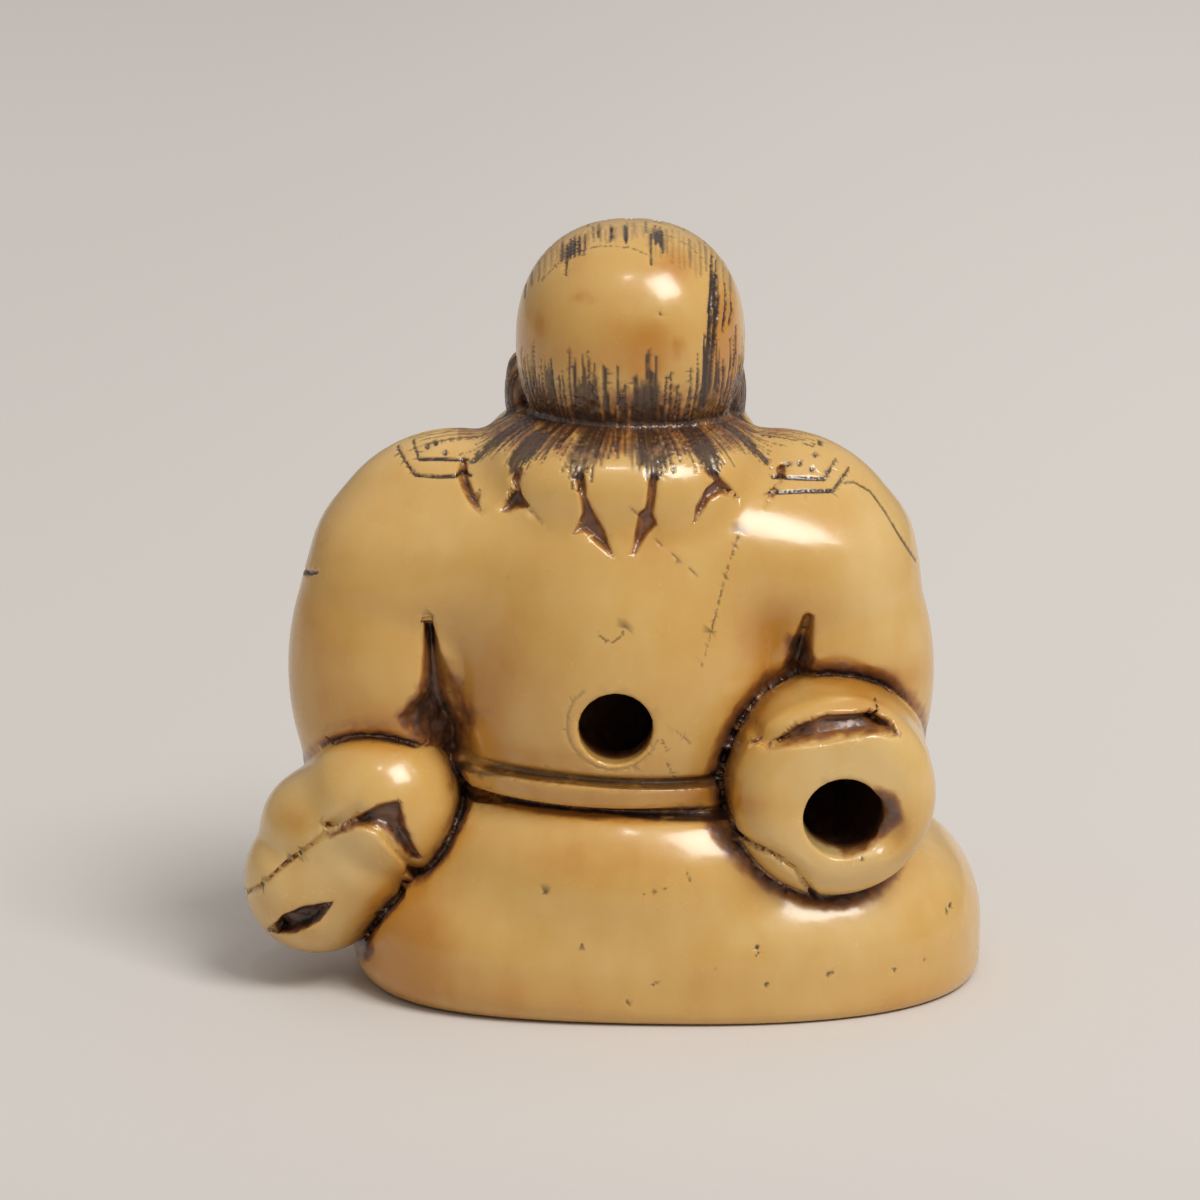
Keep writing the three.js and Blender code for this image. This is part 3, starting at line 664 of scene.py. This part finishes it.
CROWN_START = [[-6, 4.6], [-3.6, 4.5], [-2.1, 5.1], [-0.7, 5.8], [0.8, 6.2], [2.4, 6.2], [3.4, 5.6], [5, 5.2]]
x = -5.6
while x < 4.6:
    start = along(CROWN_START, x) + abs(dice.normal(0.1, 0.35))
    near = HEAD["x"] + 0.92 * (x - HEAD["x"])
    wide = dice.uniform(0.05, 0.08)
    worn = dice.uniform(0.15, 0.6)
    stop = dice.uniform(7.6, 8.8)
    line("over", 0.05, worn, [x, start, 0.03], [x, start + 0.6, wide], [x, stop, wide])
    line("over", 0.1, dice.uniform(0.7, 1), [x, dice.uniform(9, 10.5), 0.02], [x, 11.5, wide],
        [near, 14.3, wide * 0.8])
    x += dice.uniform(0.24, 0.34)
for x, start, wide, dark in (
    (2.62, 5.7, 0.1, 0.9), (2.4, 4.6, 0.03, 1), (2.38, 5.2, 0.09, 1), (2.2, 5.7, 0.1, 1), (2.0, 5.7, 0.09, 1),
    (1.78, 5.6, 0.08, 1), (1.5, 5.6, 0.06, 0.9), (1.1, 6.8, 0.06, 0.8), (0.85, 6.9, 0.08, 0.9),
    (0.2, 6.2, 0.09, 1),
    (-0.5, 6.1, 0.1, 1), (-0.95, 6.7, 0.04, 0.8), (-1.72, 4.7, 0.06, 1), (-1.95, 6.2, 0.13, 1),
    (-2.15, 6.0, 0.12, 1),
    (-2.3, 5.5, 0.06, 1), (-1.45, 7, 0.05, 0.8),
):
    line("over", 0.12, dark, [x, start, 0.03], [x, start + 0.5, wide], [x, start + 1.6, wide],
        [x, start + 2.4, 0.03])
line("over", 0.05, 0.75, [3.6, 5.3, 0.03], [2.4, 6.1, 0.035], [0.8, 6.1, 0.03], [-0.7, 5.8, 0.03],
    [-1.6, 5.3, 0.02])
line("over", 0.05, 0.7, [-2.2, 7.4, 0.03], [-3.6, 6.9, 0.03], [-4.6, 5.9, 0.03], [-5.4, 4.6, 0.02])
for x, high, low, wide in (
    (-4.5, 9.0, -3.2, 0.11), (-4.7, 7.6, -3.2, 0.1), (-4.62, 6.4, 2.6, 0.13), (-4.9, 5.6, 1.2, 0.06),
    (-5.25, 5.6, 1.6, 0.05), (-5.55, 4.9, 2.2, 0.05), (-5.15, -0.6, -3.0, 0.06), (-5.5, 0.9, -3.0, 0.05),
    (-4.2, 1.2, -3.0, 0.08), (-5.75, 2.4, -2.6, 0.05),
):
    bend = 0.25 * (high - low) / 12
    line("over", 0.12, 1, [x - bend, high, 0.03], [x - 0.1, (high + low) / 2, wide], [x + bend, low, wide])

# ---- Engraved edges of the robe, and old damage ----
# A double line and a row of dots run round the neck of the robe. Cracks, scratches and pits are the wear of
# years.
line("behind", 0.12, 1, [7.2, 26.3, 0.06], [8.6, 26.3, 0.07], [9.6, 26.25, 0.07], [9.95, 26.9, 0.06])
line("behind", 0.12, 1, [7.0, 25.75, 0.06], [8.5, 25.6, 0.07], [9.8, 25.6, 0.07], [10.3, 26.15, 0.07],
    [10.75, 26.6, 0.06])
line("behind", 0.12, 1, [-7.6, 25.65, 0.07], [-9.2, 25.5, 0.08], [-10.2, 25.4, 0.07], [-10.8, 26.15, 0.06])
line("behind", 0.12, 1, [-7.4, 25.05, 0.06], [-9.2, 25.0, 0.08], [-10.6, 24.9, 0.08], [-11.45, 25.7, 0.06])
for x, z in ((9.2, 26.75), (8.3, 26.55), (8.8, 26.9), (-8.4, 26.1), (-9.0, 26.1), (-9.6, 25.85), (-9.8, 26.4),
    (-10.1, 26.8)):
    line("behind", 0.14, 1, [x, z, 0.11], [x + 0.02, z, 0.11])
for s in (1, -1):
    line("robe", 0.12, 0.9, [s * 9.9, 27.2, 0.07], [s * 8.9, 24, 0.07], [s * 6.3, 19.3, 0.07],
        [s * 3.2, 15.4, 0.06])
    line("robe", 0.12, 0.9, [s * 10.8, 27.0, 0.07], [s * 9.9, 24, 0.07], [s * 7.2, 19.2, 0.07],
        [s * 3.9, 15.2, 0.06])
    for z in np.arange(16.2, 26, 0.8):
        x = s * float(np.interp(z, [15.4, 19.3, 24, 27.2], [2.85, 5.9, 8.4, 9.4]))
        line("robe", 0.14, 0.9, [x, z, 0.11], [x + 0.02, z, 0.11])
line("waist", 0.06, 0.75, [8.4, 11.3, 0.1], [5.2, 11.9, 0.17], [1.5, 11.8, 0.16], [-2.5, 11.55, 0.2],
     [-6.4, 11.3, 0.22])
line("waist", 0.08, 0.95, [8.2, 9.9, 0.12], [5.2, 10.15, 0.08], [1, 10.15, 0.1], [-2, 9.95, 0.17],
    [-5.6, 9.75, 0.15])
turn = [math.radians(a) for a in range(130, 345, 15)]
line("behind", 0.07, 0.3, *([0.1 - 2.25 * math.cos(a), 14.65 + 2.25 * math.sin(a), 0.06] for a in turn))
line("behind", 0.04, 0.75, [-6.0, 23.6, 0.03], [-5.5, 22.3, 0.03], [-5.1, 20.9, 0.03], [-4.6, 19.0, 0.03],
    [-4.1, 17.3, 0.02])
line("behind", 0.05, 0.8, [-10.9, 25.2, 0.04], [-11.7, 25.1, 0.04], [-12.5, 24.6, 0.04], [-13.2, 23.7, 0.045],
     [-13.7, 22.9, 0.05], [-14.2, 22.1, 0.05], [-14.8, 21.1, 0.03])
line("behind", 0.04, 0.6, [-1.9, 23.4, 0.025], [-4.0, 21.6, 0.02])
line("behind", 0.04, 0.6, [-0.3, 25.3, 0.02], [-1.4, 24.3, 0.03])
line("behind", 0.04, 0.5, [-2.4, 14.8, 0.02], [-3.6, 13.6, 0.03])
line("behind", 0.05, 0.8, [-2.9, 11.75, 0.03], [-2.45, 12.7, 0.03])
line("behind", 0.04, 0.7, [-2.2, 14.0, 0.03], [-2.5, 13.2, 0.02])
line("behind", 0.04, 0.7, [0.9, 19.3, 0.025], [0.55, 18.85, 0.03], [0.1, 18.75, 0.03], [-0.3, 19.1, 0.03],
    [-0.45, 19.5, 0.02])
line("behind", 0.25, 1, [15.4, 20.55, 0.12], [14.9, 20.75, 0.09], [14.5, 20.95, 0.03])
for x, z, wide in (
    (-6.8, 4.0, 0.1), (-6.85, 3.7, 0.06), (-7.3, 2.2, 0.09), (-10.3, 2.5, 0.1), (-10.5, 2.6, 0.06),
    (-1.9, 2.3, 0.06),
    (-0.6, 1.35, 0.08), (-0.65, 1.2, 0.05), (-16.5, 4.6, 0.08), (-16.3, 4.4, 0.06), (1.6, 4.15, 0.05),
    (-13.6, 2.3, 0.06),
    (-15.1, 2.5, 0.05), (-4.9, 3.1, 0.04), (3.4, 6.6, 0.04), (5.2, 21.4, 0.04), (-11.8, 8.4, 0.06),
    (-2.2, 33.9, 0.03),
):
    line("behind", 0.12, 0.9, [x, z, wide], [x + 0.05, z - 0.08, wide * 0.7])
line("behind", 0.04, 0.7, [-3.4, 7.7, 0.03], [-3.65, 7.1, 0.03])
line("behind", 0.04, 0.7, [-1.3, 6.7, 0.02], [-2.4, 6.95, 0.03])

# ---- Engraved face, beard and hands ----
# The beard, the side locks and the brows are combed in fine lines, and a line sets off each eyelid, lip and
# nail.
for i in range(34):
    t = (i + 0.5) / 34 * 2 - 1
    x, foot = HEAD["x"] + 2.8 * t, HEAD["x"] + 0.8 * t
    low = 18.9 + 2.6 * abs(t) + dice.uniform(0, 0.9)
    high = 26.8 + 0.7 * abs(t)
    line("before", 0.1, 0.85, [x, high, 0.03], [(x + foot) / 2 + 0.5 * t, (high + low) / 2, 0.06],
        [foot, low, 0.02])
for s in (1, -1):
    for i in range(9):
        off = (i - 4) * 0.28
        line("before", 0.1, 0.85, [s * 4.9 + off * 0.6, 27.4, 0.05], [s * 6.4 + off, 24, 0.07],
            [s * 6.4 + off * 0.8, 20, 0.06],
             [s * 5.7 + off * 0.3, 16.9, 0.02])
    for i in range(7):
        x = HEAD["x"] + s * (0.9 + 0.45 * i)
        line("before", 0.08, 0.85, [x, 31.9 + 0.1 * i, 0.05], [x + s * 0.25, 32.75 - 0.02 * i, 0.02])
    for i in range(5):
        x = HEAD["x"] + s * (0.5 + 0.3 * i)
        line("before", 0.08, 0.8, [x, 28.5 - 0.12 * i, 0.05], [x + s * 0.5, 27.7 - 0.2 * i, 0.05],
            [x + s * 1.1, 26.2 - 0.3 * i, 0.02])
    x = HEAD["x"] + s * 1.95
    line("before", 0.06, 1, [x - s * 1.05, 30.85, 0.03], [x, 31.2, 0.06], [x + s * 1.1, 30.8, 0.04])
    line("before", 0.05, 0.8, [x - s * 0.8, 30.75, 0.03], [x, 30.62, 0.04], [x + s * 0.9, 30.7, 0.02])
    line("before", 0.05, 1, [x, 30.93, 0.2], [x + 0.02, 30.93, 0.2])
line("before", 0.08, 0.9, [HEAD["x"] - 1.0, 27.72, 0.03], [HEAD["x"], 27.66, 0.06],
    [HEAD["x"] + 1.0, 27.72, 0.03])
for i in range(3):
    z = 11.22 - 0.765 * i
    line("before", 0.1, 0.9, [-2.7 + 0.25 * i, z - 0.12, 0.05], [1.6, z, 0.07])


def engraving(p):
    """How deep the lines cut, how dark they are, and the gap to the nearest."""
    depth, dark = np.zeros((2, p.shape[1]))
    gap = np.full(p.shape[1], 9.0)
    for name, (u, v, holds) in sheets(p).items():
        held = np.flatnonzero(holds)
        u, v = u[held], v[held]
        for deep, black, path in LINES[name]:
            low = np.min(path, 0)[:2] - 0.5
            high = np.max(path, 0)[:2] + 0.5
            k = np.flatnonzero((u > low[0]) & (u < high[0]) & (v > low[1]) & (v < high[1]))
            reach, wide, _ = off_path(path, u[k], v[k])
            k = held[k]
            depth[k] = np.maximum(depth[k], deep * (1 - rise(0, 1.1, reach / wide)))
            dark[k] = np.maximum(dark[k], black * (1 - rise(0.7, 1.4, reach / wide)))
            gap[k] = np.minimum(gap[k], reach - wide)
    return depth, dark, gap


def near_lines(least):
    """Chooses edges that reach an engraved line."""

    def choose(points, a, b):
        chosen = edge_length(points, a, b) > least
        middle = (points[:, a[chosen]] + points[:, b[chosen]]) / 2
        reach = edge_length(points, a[chosen], b[chosen]) / 3
        chosen[chosen] = engraving(middle)[2] < reach
        return chosen

    return choose


for least in (0.3, 0.23, 0.17):
    old = points.shape[1]
    points, faces = split(points, faces, near_lines(least))
    points[:, old:] = settle(sage, points[:, old:], 1)

# ---- Old ivory ----
# Ivory gone honey-coloured, browner in the hollows, with grey-brown wax and dirt in the grooves and black in
# the engraving. Handling has polished the raised parts. Painted shade darkens the deep insides of the drilled
# holes and a patch under the left sleeve.
TONES = [  # x, z, half-width, half-height and strength: above 0 more amber, below 0 more creamy
    [4.0, 32.2, 2.2, 2.4, 0.6], [-1.4, 32.8, 2.0, 1.5, 0.75], [1.5, 34.5, 0.5, 0.2, 0.9],
    [-3.0, 32.2, 0.25, 0.35, 1.2],
    [3.7, 33.0, 0.2, 0.4, 0.9], [-5.2, 32.2, 0.6, 2.4, 1.6], [-2.8, 35.9, 1.2, 0.9, 0.8],
    [-4.9, 29.3, 1.4, 0.6, 0.8],
    [1.0, 31.6, 2.5, 0.9, 0.35], [-1.6, 31.5, 0.9, 1.6, 0.6], [-5.7, 30.9, 0.5, 1.2, 1.1],
    [-1.8, 34.3, 1.2, 0.8, -0.4],
    [2.6, 36.3, 2.5, 0.7, 0.35], [6.6, 14.6, 1.4, 2.6, 1.0], [4.8, 18.0, 2.8, 3.2, 0.5],
    [-7.4, 18.4, 1.5, 1.8, 0.9],
    [-6.6, 14.6, 1.4, 2.4, 0.8], [-2.0, 15.6, 1.8, 3.0, 0.4], [-5.5, 11.1, 2.0, 0.8, 0.9],
    [13.4, 17.0, 3.6, 6.0, 0.45],
    [11.5, 13.7, 3.4, 1.3, 0.8], [-12.4, 15.9, 3.4, 1.0, 0.8], [9.6, 4.4, 2.4, 3.2, 0.9],
    [5.0, 1.2, 7.0, 1.4, 0.5],
    [-9.0, 5.0, 5.0, 2.0, -0.4], [-10.5, 11.0, 5.0, 5.0, -0.55], [13.8, 8.0, 4.5, 4.5, -0.5],
    [-12.5, 22.0, 3.0, 3.0, -0.4],
    [10.8, 2.0, 2.0, 2.0, 0.9], [0.5, 8.2, 6.0, 1.2, 0.5], [0.0, 11.0, 8.0, 0.8, 0.5],
    [-15.0, 0.8, 3.0, 1.0, 0.6], [3.0, 22.5, 4.0, 2.0, 0.15],
    [15.8, 9.0, 1.0, 0.8, 0.9], [11.0, 4.8, 1.5, 1.0, 0.8], [-6.5, 6.5, 1.6, 1.2, 0.5],
    [7.5, 8.6, 1.2, 1.6, 0.5],
    [-1.4, 23.6, 1.4, 1.4, 0.3], [-13.8, 9.4, 0.7, 1.4, 0.7], [4.2, 12.8, 3.4, 0.7, 0.4],
    [-9.5, 23.6, 2.0, 1.0, 0.2],
]
ON_SLEEVES, ON_ROBE = (  # outlines of the dirtiest hollows, and one patch of painted shade under the left sleeve, with a strength and how softly each one fades
    [
        [0.8, 0.3, FOLD], [0.95, 0.15, SLIT], [0.7, 0.3, ROLL_FOLD],
        [0.75, 0.3, [[-12.5, 12.0], [-13.5, 11.5], [-13.8, 10.2], [-13.1, 9.4], [-12.0, 8.7], [-10.8, 8.4],
          [-11, 10]]],
    ],
    [
        [0.95, 0.55, CREASE], *([0.62, 0.14, nick] for nick in NICKS),
        [0.5, 0.8, [[8.3, 17.4], [6.6, 14.8], [6.0, 14.8], [7.0, 13.4], [7.4, 11.4], [8.2, 14]]],
        [0.85, 0.35, [[-8.3, 18.4], [-9.1, 18.2], [-9.9, 17.0], [-9.3, 16.0], [-8.6, 15.8], [-8.2, 16.6]]],
        [0.7, 0.35, [[-5.8, 13.8], [-7.1, 15], [-8.3, 16], [-8.7, 15.8], [-7.6, 14.9], [-6.7, 13.9],
          [-5.3, 11.3]]],
        [0.7, 0.3, [[-4.0, 10.0], [-5.3, 9.7], [-5.9, 8.2], [-7.3, 6.9], [-8.9, 6.2], [-7.4, 6.5],
          [-5.5, 7.9]]],
        # This patch under the left sleeve, between the sleeve and the base, is painted shade.
        [0.8, 0.25, [[12.9, 2.9], [12.0, 3.1], [11.8, 2.2], [12.5, 1.5]]],
        [0.35, 0.5, [[10.6, 13.9], [12.2, 13.4], [14.2, 13.2], [14.2, 13.9], [11.6, 14.5], [10.1, 14.6]]],
    ],
)


def grain(p, size, start):
    """Random heights from -1 to 1 that change over about one size."""
    q = p / size + start
    cell = np.floor(q).astype(int)
    f = q - cell
    f = f * f * (3 - 2 * f)
    heights = np.random.default_rng(int(start)).uniform(-1, 1, 4096)
    total = 0
    for corner in np.ndindex(2, 2, 2):
        key = sum((c + o) * prime for c, o, prime in zip(cell, corner, (73, 1949, 8353))) % 4096
        total = total + heights[key] * np.prod([t if o else 1 - t for t, o in zip(f, corner)], 0)
    return total


def outward(points, faces):
    a, b, c = (points[:, faces[:, k]] for k in range(3))
    normal = np.cross((b - a).T, (c - a).T).T
    total = np.zeros_like(points)
    for row in range(3):
        for k in range(3):
            total[row] += np.bincount(faces[:, k], normal[row], points.shape[1])
    return total / np.maximum(length(*total), 1e-12)


facing = outward(points, faces)
crease = np.clip(1 - sage(points + 0.3 * facing) / 0.3, 0, 2)
hollow = np.clip(1 - sage(points + 1.6 * facing) / 1.6, 0, 2)
depth, dark, _ = engraving(points)
x, y, z = points
tone = np.zeros(x.shape)
for cx, cz, wide, high, much in TONES:
    tone += much * np.exp(-(((x - cx) / wide) ** 2) - ((z - cz) / high) ** 2) * (y > -1)
beside = beside_sleeves(points)
soiled = rise(0.02, 0.12, beside) * (1 - rise(0.1, 1.3, beside)) * rise(-3, 0, y)
scalp = rise(26.6, 27.6, z) * (1 - rise(29.4, 31.2, z)) * rise(-2, 0, y) * (abs(x + 0.75) < 8.5)
inside = rise(0.3, 2.4, -undrilled(points))
uneven = 1 + 0.3 * grain(points, 0.9, 11) + 0.35 * grain(points, 0.24, 23)
dirt_and_painted_shade = 0.75 * rise(0.35, 1.2, crease) + 0.3 * rise(0.35, 1.1, hollow) + 0.42 * soiled + 0.42 * scalp
for group, place in ((ON_SLEEVES, beside < 0.15), (ON_ROBE, beside > 0.05)):
    for much, soft, outline in group:
        dirt_and_painted_shade = np.maximum(dirt_and_painted_shade, much * rise(-soft, soft, within(points, outline)) * (y > 0) * place)
# Deep in the drilled holes the colour is pushed to dark brown: painted shade.
dirt_and_painted_shade = dirt_and_painted_shade * uneven + 0.95 * inside
chiselled = rise(0.35, 0.8, dirt_and_painted_shade) * (1 - inside) * (1 - dark)
depth += 0.07 * chiselled * (grain(points, 0.4, 31) + grain(points, 0.18, 57))
points = points - facing * depth

mesh = bpy.data.meshes.new("seated_sage_ivory")
mesh.from_pydata((points.T / 1000).tolist(), [], faces.tolist())
mesh.shade_smooth()
for name, values in (("dirt_and_painted_shade", dirt_and_painted_shade), ("ink", dark), ("tone", tone + 0.5 * hollow)):
    mesh.attributes.new(name, "FLOAT", "POINT").data.foreach_set("value", values.astype(np.float32))
carving = bpy.data.objects.new("carved_sage", mesh)
bpy.context.scene.collection.objects.link(carving)

ivory = bpy.data.materials.new("old_ivory")
ivory.use_nodes = True
tree = ivory.node_tree
shader = tree.nodes["Principled BSDF"]


def plug(socket, value):
    if isinstance(value, bpy.types.NodeSocket):
        tree.links.new(value, socket)
    else:
        socket.default_value = value


def attribute(name):
    made = tree.nodes.new("ShaderNodeAttribute")
    made.attribute_name = name
    return made.outputs["Fac"]


def sums(operation, *values):
    made = tree.nodes.new("ShaderNodeMath")
    made.operation = operation
    for socket, value in zip(made.inputs, values):
        plug(socket, value)
    return made.outputs[0]


def ramp(value, low, high, least=0.0, most=1.0):
    made = tree.nodes.new("ShaderNodeMapRange")
    made.interpolation_type = "SMOOTHSTEP"
    for socket, setting in zip(made.inputs, (value, low, high, least, most)):
        plug(socket, setting)
    return made.outputs[0]


def mix(amount, below, above):
    made = tree.nodes.new("ShaderNodeMix")
    made.data_type = "RGBA"
    for index, value in ((0, amount), (6, below), (7, above)):
        plug(made.inputs[index], (*value, 1) if isinstance(value, tuple) else value)
    return made.outputs[2]


def clouds(size, detail=2.0, stretch=(1, 1, 1)):
    """Noise around 0 with patches of about one size, in millimetres."""
    place = tree.nodes.new("ShaderNodeTexCoord")
    scaled = tree.nodes.new("ShaderNodeMapping")
    scaled.inputs["Scale"].default_value = stretch
    made = tree.nodes.new("ShaderNodeTexNoise")
    made.inputs["Scale"].default_value = 1000 / size
    made.inputs["Detail"].default_value = detail
    tree.links.new(place.outputs["Object"], scaled.inputs["Vector"])
    tree.links.new(scaled.outputs["Vector"], made.inputs["Vector"])
    return sums("MULTIPLY", sums("SUBTRACT", made.outputs["Fac"], 0.5), 3.0)


CREAM, HONEY, AMBER = (0.73, 0.505, 0.205), (0.655, 0.39, 0.108), (0.54, 0.24, 0.034)
RUST, BROWN, DARK_BROWN = (0.34, 0.13, 0.03), (0.14, 0.052, 0.018), (0.036, 0.014, 0.007)
WAX, INK = (0.16, 0.108, 0.09), (0.04, 0.015, 0.006)

fine = clouds(0.45, 3)
# The dirt mask also carries painted shade, deep in the holes and under the left sleeve; the steps below turn it
# brown to dark brown.
dirt_and_painted_shade_here = sums("ADD", attribute("dirt_and_painted_shade"), sums("MULTIPLY", fine, 0.1))
shade = sums("ADD", attribute("tone"), sums("MULTIPLY", clouds(4.5, 3), 0.4))
shade = sums("ADD", shade, sums("MULTIPLY", clouds(1.2, 2, (1, 1, 0.4)), 0.16))
colour = mix(ramp(shade, -0.7, 0.15), CREAM, HONEY)
colour = mix(ramp(shade, 0.0, 1.1), colour, AMBER)
colour = mix(ramp(dirt_and_painted_shade_here, 0.12, 0.5), colour, RUST)
colour = mix(ramp(dirt_and_painted_shade_here, 0.35, 0.75), colour, BROWN)
colour = mix(ramp(dirt_and_painted_shade_here, 0.7, 1.15), colour, DARK_BROWN)
waxed = sums("MULTIPLY", ramp(dirt_and_painted_shade_here, 0.4, 0.7), ramp(dirt_and_painted_shade_here, 1.5, 1.2))
waxed = sums("MULTIPLY", waxed, ramp(clouds(0.9, 3), 0.1, 0.5))
colour = mix(sums("MULTIPLY", waxed, 0.6), colour, WAX)
inked = sums("MULTIPLY", attribute("ink"), ramp(sums("ADD", fine, clouds(1.6)), -0.9, -0.1, 0.6, 1.0))
colour = mix(inked, colour, INK)

polish = ramp(dirt_and_painted_shade_here, 0.2, 0.9, 0.26, 0.42)
polish = sums("ADD", polish, sums("MULTIPLY", clouds(2.2, 3), 0.04))
polish = sums("ADD", polish, sums("MULTIPLY", inked, 0.06))
bump = tree.nodes.new("ShaderNodeBump")
bump.inputs["Distance"].default_value = 0.00002
bump.inputs["Strength"].default_value = 0.5
relief = sums("ADD", sums("MULTIPLY", clouds(1.6, 3), 0.9),
    sums("MULTIPLY", fine, ramp(dirt_and_painted_shade_here, 0.3, 0.8, 0.05, 1.5)))
plug(bump.inputs["Height"], relief)
plug(shader.inputs["Base Color"], colour)
plug(shader.inputs["Roughness"], polish)
plug(shader.inputs["Normal"], bump.outputs["Normal"])
shader.inputs["IOR"].default_value = 1.54
shader.inputs["Coat Weight"].default_value = 0.4
shader.inputs["Coat Roughness"].default_value = 0.12
shader.inputs["Subsurface Weight"].default_value = 0.22
shader.inputs["Subsurface Scale"].default_value = 0.0008
shader.inputs["Subsurface Radius"].default_value = (1.0, 0.6, 0.35)
mesh.materials.append(ivory)
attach(carving, "root")
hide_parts("seated_sage")

# ---- Paper, light and camera ----
# The netsuke sits on a pale sheet of paper, under a soft lamp high on its right and a weaker one overhead.
floor = bpy.data.meshes.new("paper_floor")
turns = [math.tau * i / 128 for i in range(128)]
floor.from_pydata([(3 * math.cos(t), 3 * math.sin(t), 0) for t in turns], [], [range(128)])
paper = bpy.data.objects.new("paper_floor", floor)
bpy.context.scene.collection.objects.link(paper)
sheet = bpy.data.materials.new("pale_paper")
sheet.use_nodes = True
tree = sheet.node_tree
parts = tree.nodes.new("ShaderNodeSeparateXYZ")
tree.links.new(tree.nodes.new("ShaderNodeTexCoord").outputs["Object"], parts.inputs[0])
# The paper is painted lighter towards the lamp on the right and darker nearer the camera: painted light and
# shade, not a change in the paper.
painted_lamp_side_light = ramp(parts.outputs["X"], 0.06, -0.06)
paper_colour_with_painted_light = mix(painted_lamp_side_light, (0.635, 0.598, 0.567), (0.70, 0.66, 0.628))
paper_colour_with_painted_light = mix(ramp(parts.outputs["Y"], 0.02, 0.065), paper_colour_with_painted_light, (0.595, 0.56, 0.535))
plug(tree.nodes["Principled BSDF"].inputs["Base Color"], paper_colour_with_painted_light)
tree.nodes["Principled BSDF"].inputs["Roughness"].default_value = 0.8
floor.materials.append(sheet)


def lamp(name, toward, distance, size, power, colour):
    light = bpy.data.lights.new(name, "AREA")
    light.shape = "SQUARE"
    light.size, light.energy, light.color = size, power, colour
    lamp_object = bpy.data.objects.new(name, light)
    bpy.context.scene.collection.objects.link(lamp_object)
    direction = Vector(toward).normalized()
    lamp_object.location = Vector((0, 0, 0.018)) + direction * distance
    lamp_object.rotation_mode = "QUATERNION"
    lamp_object.rotation_quaternion = direction.to_track_quat("Z", "Y")


lamp("softbox", (-0.425, 0.43, 0.795), 2.5, 1.1, 43, (1.0, 0.985, 0.955))
lamp("overhead", (0.02, 0.39, 0.92), 2.5, 0.16, 2.4, (1.0, 0.97, 0.92))
room = bpy.data.worlds.new("room")
room.use_nodes = True
room.node_tree.nodes["Background"].inputs["Color"].default_value = (1.0, 0.985, 0.965, 1)
tree = room.node_tree
parts = tree.nodes.new("ShaderNodeSeparateXYZ")
tree.links.new(tree.nodes.new("ShaderNodeTexCoord").outputs["Generated"], parts.inputs[0])
plug(tree.nodes["Background"].inputs["Strength"], ramp(parts.outputs["Z"], 0.0, 1.0, 0.22, 0.56))
bpy.context.scene.world = room
bpy.context.scene.view_settings.view_transform = "Standard"

CAMERA_RISE = math.radians(13)  # the camera looks down a little on the back of the figure, from this far away
CAMERA_AWAY = 0.22
CAMERA_AIM = (0.00075, 0, 0.01843)

camera = bpy.data.objects.new("camera", bpy.data.cameras.new("camera"))
bpy.context.scene.collection.objects.link(camera)
camera.data.sensor_width = 36
camera.data.lens = 132
camera.data.clip_start = 0.01
away = Vector((0, math.cos(CAMERA_RISE), math.sin(CAMERA_RISE)))
camera.location = Vector(CAMERA_AIM) + CAMERA_AWAY * away
camera.rotation_mode = "QUATERNION"
camera.rotation_quaternion = (-away).to_track_quat("-Z", "Y")
bpy.context.scene.camera = camera
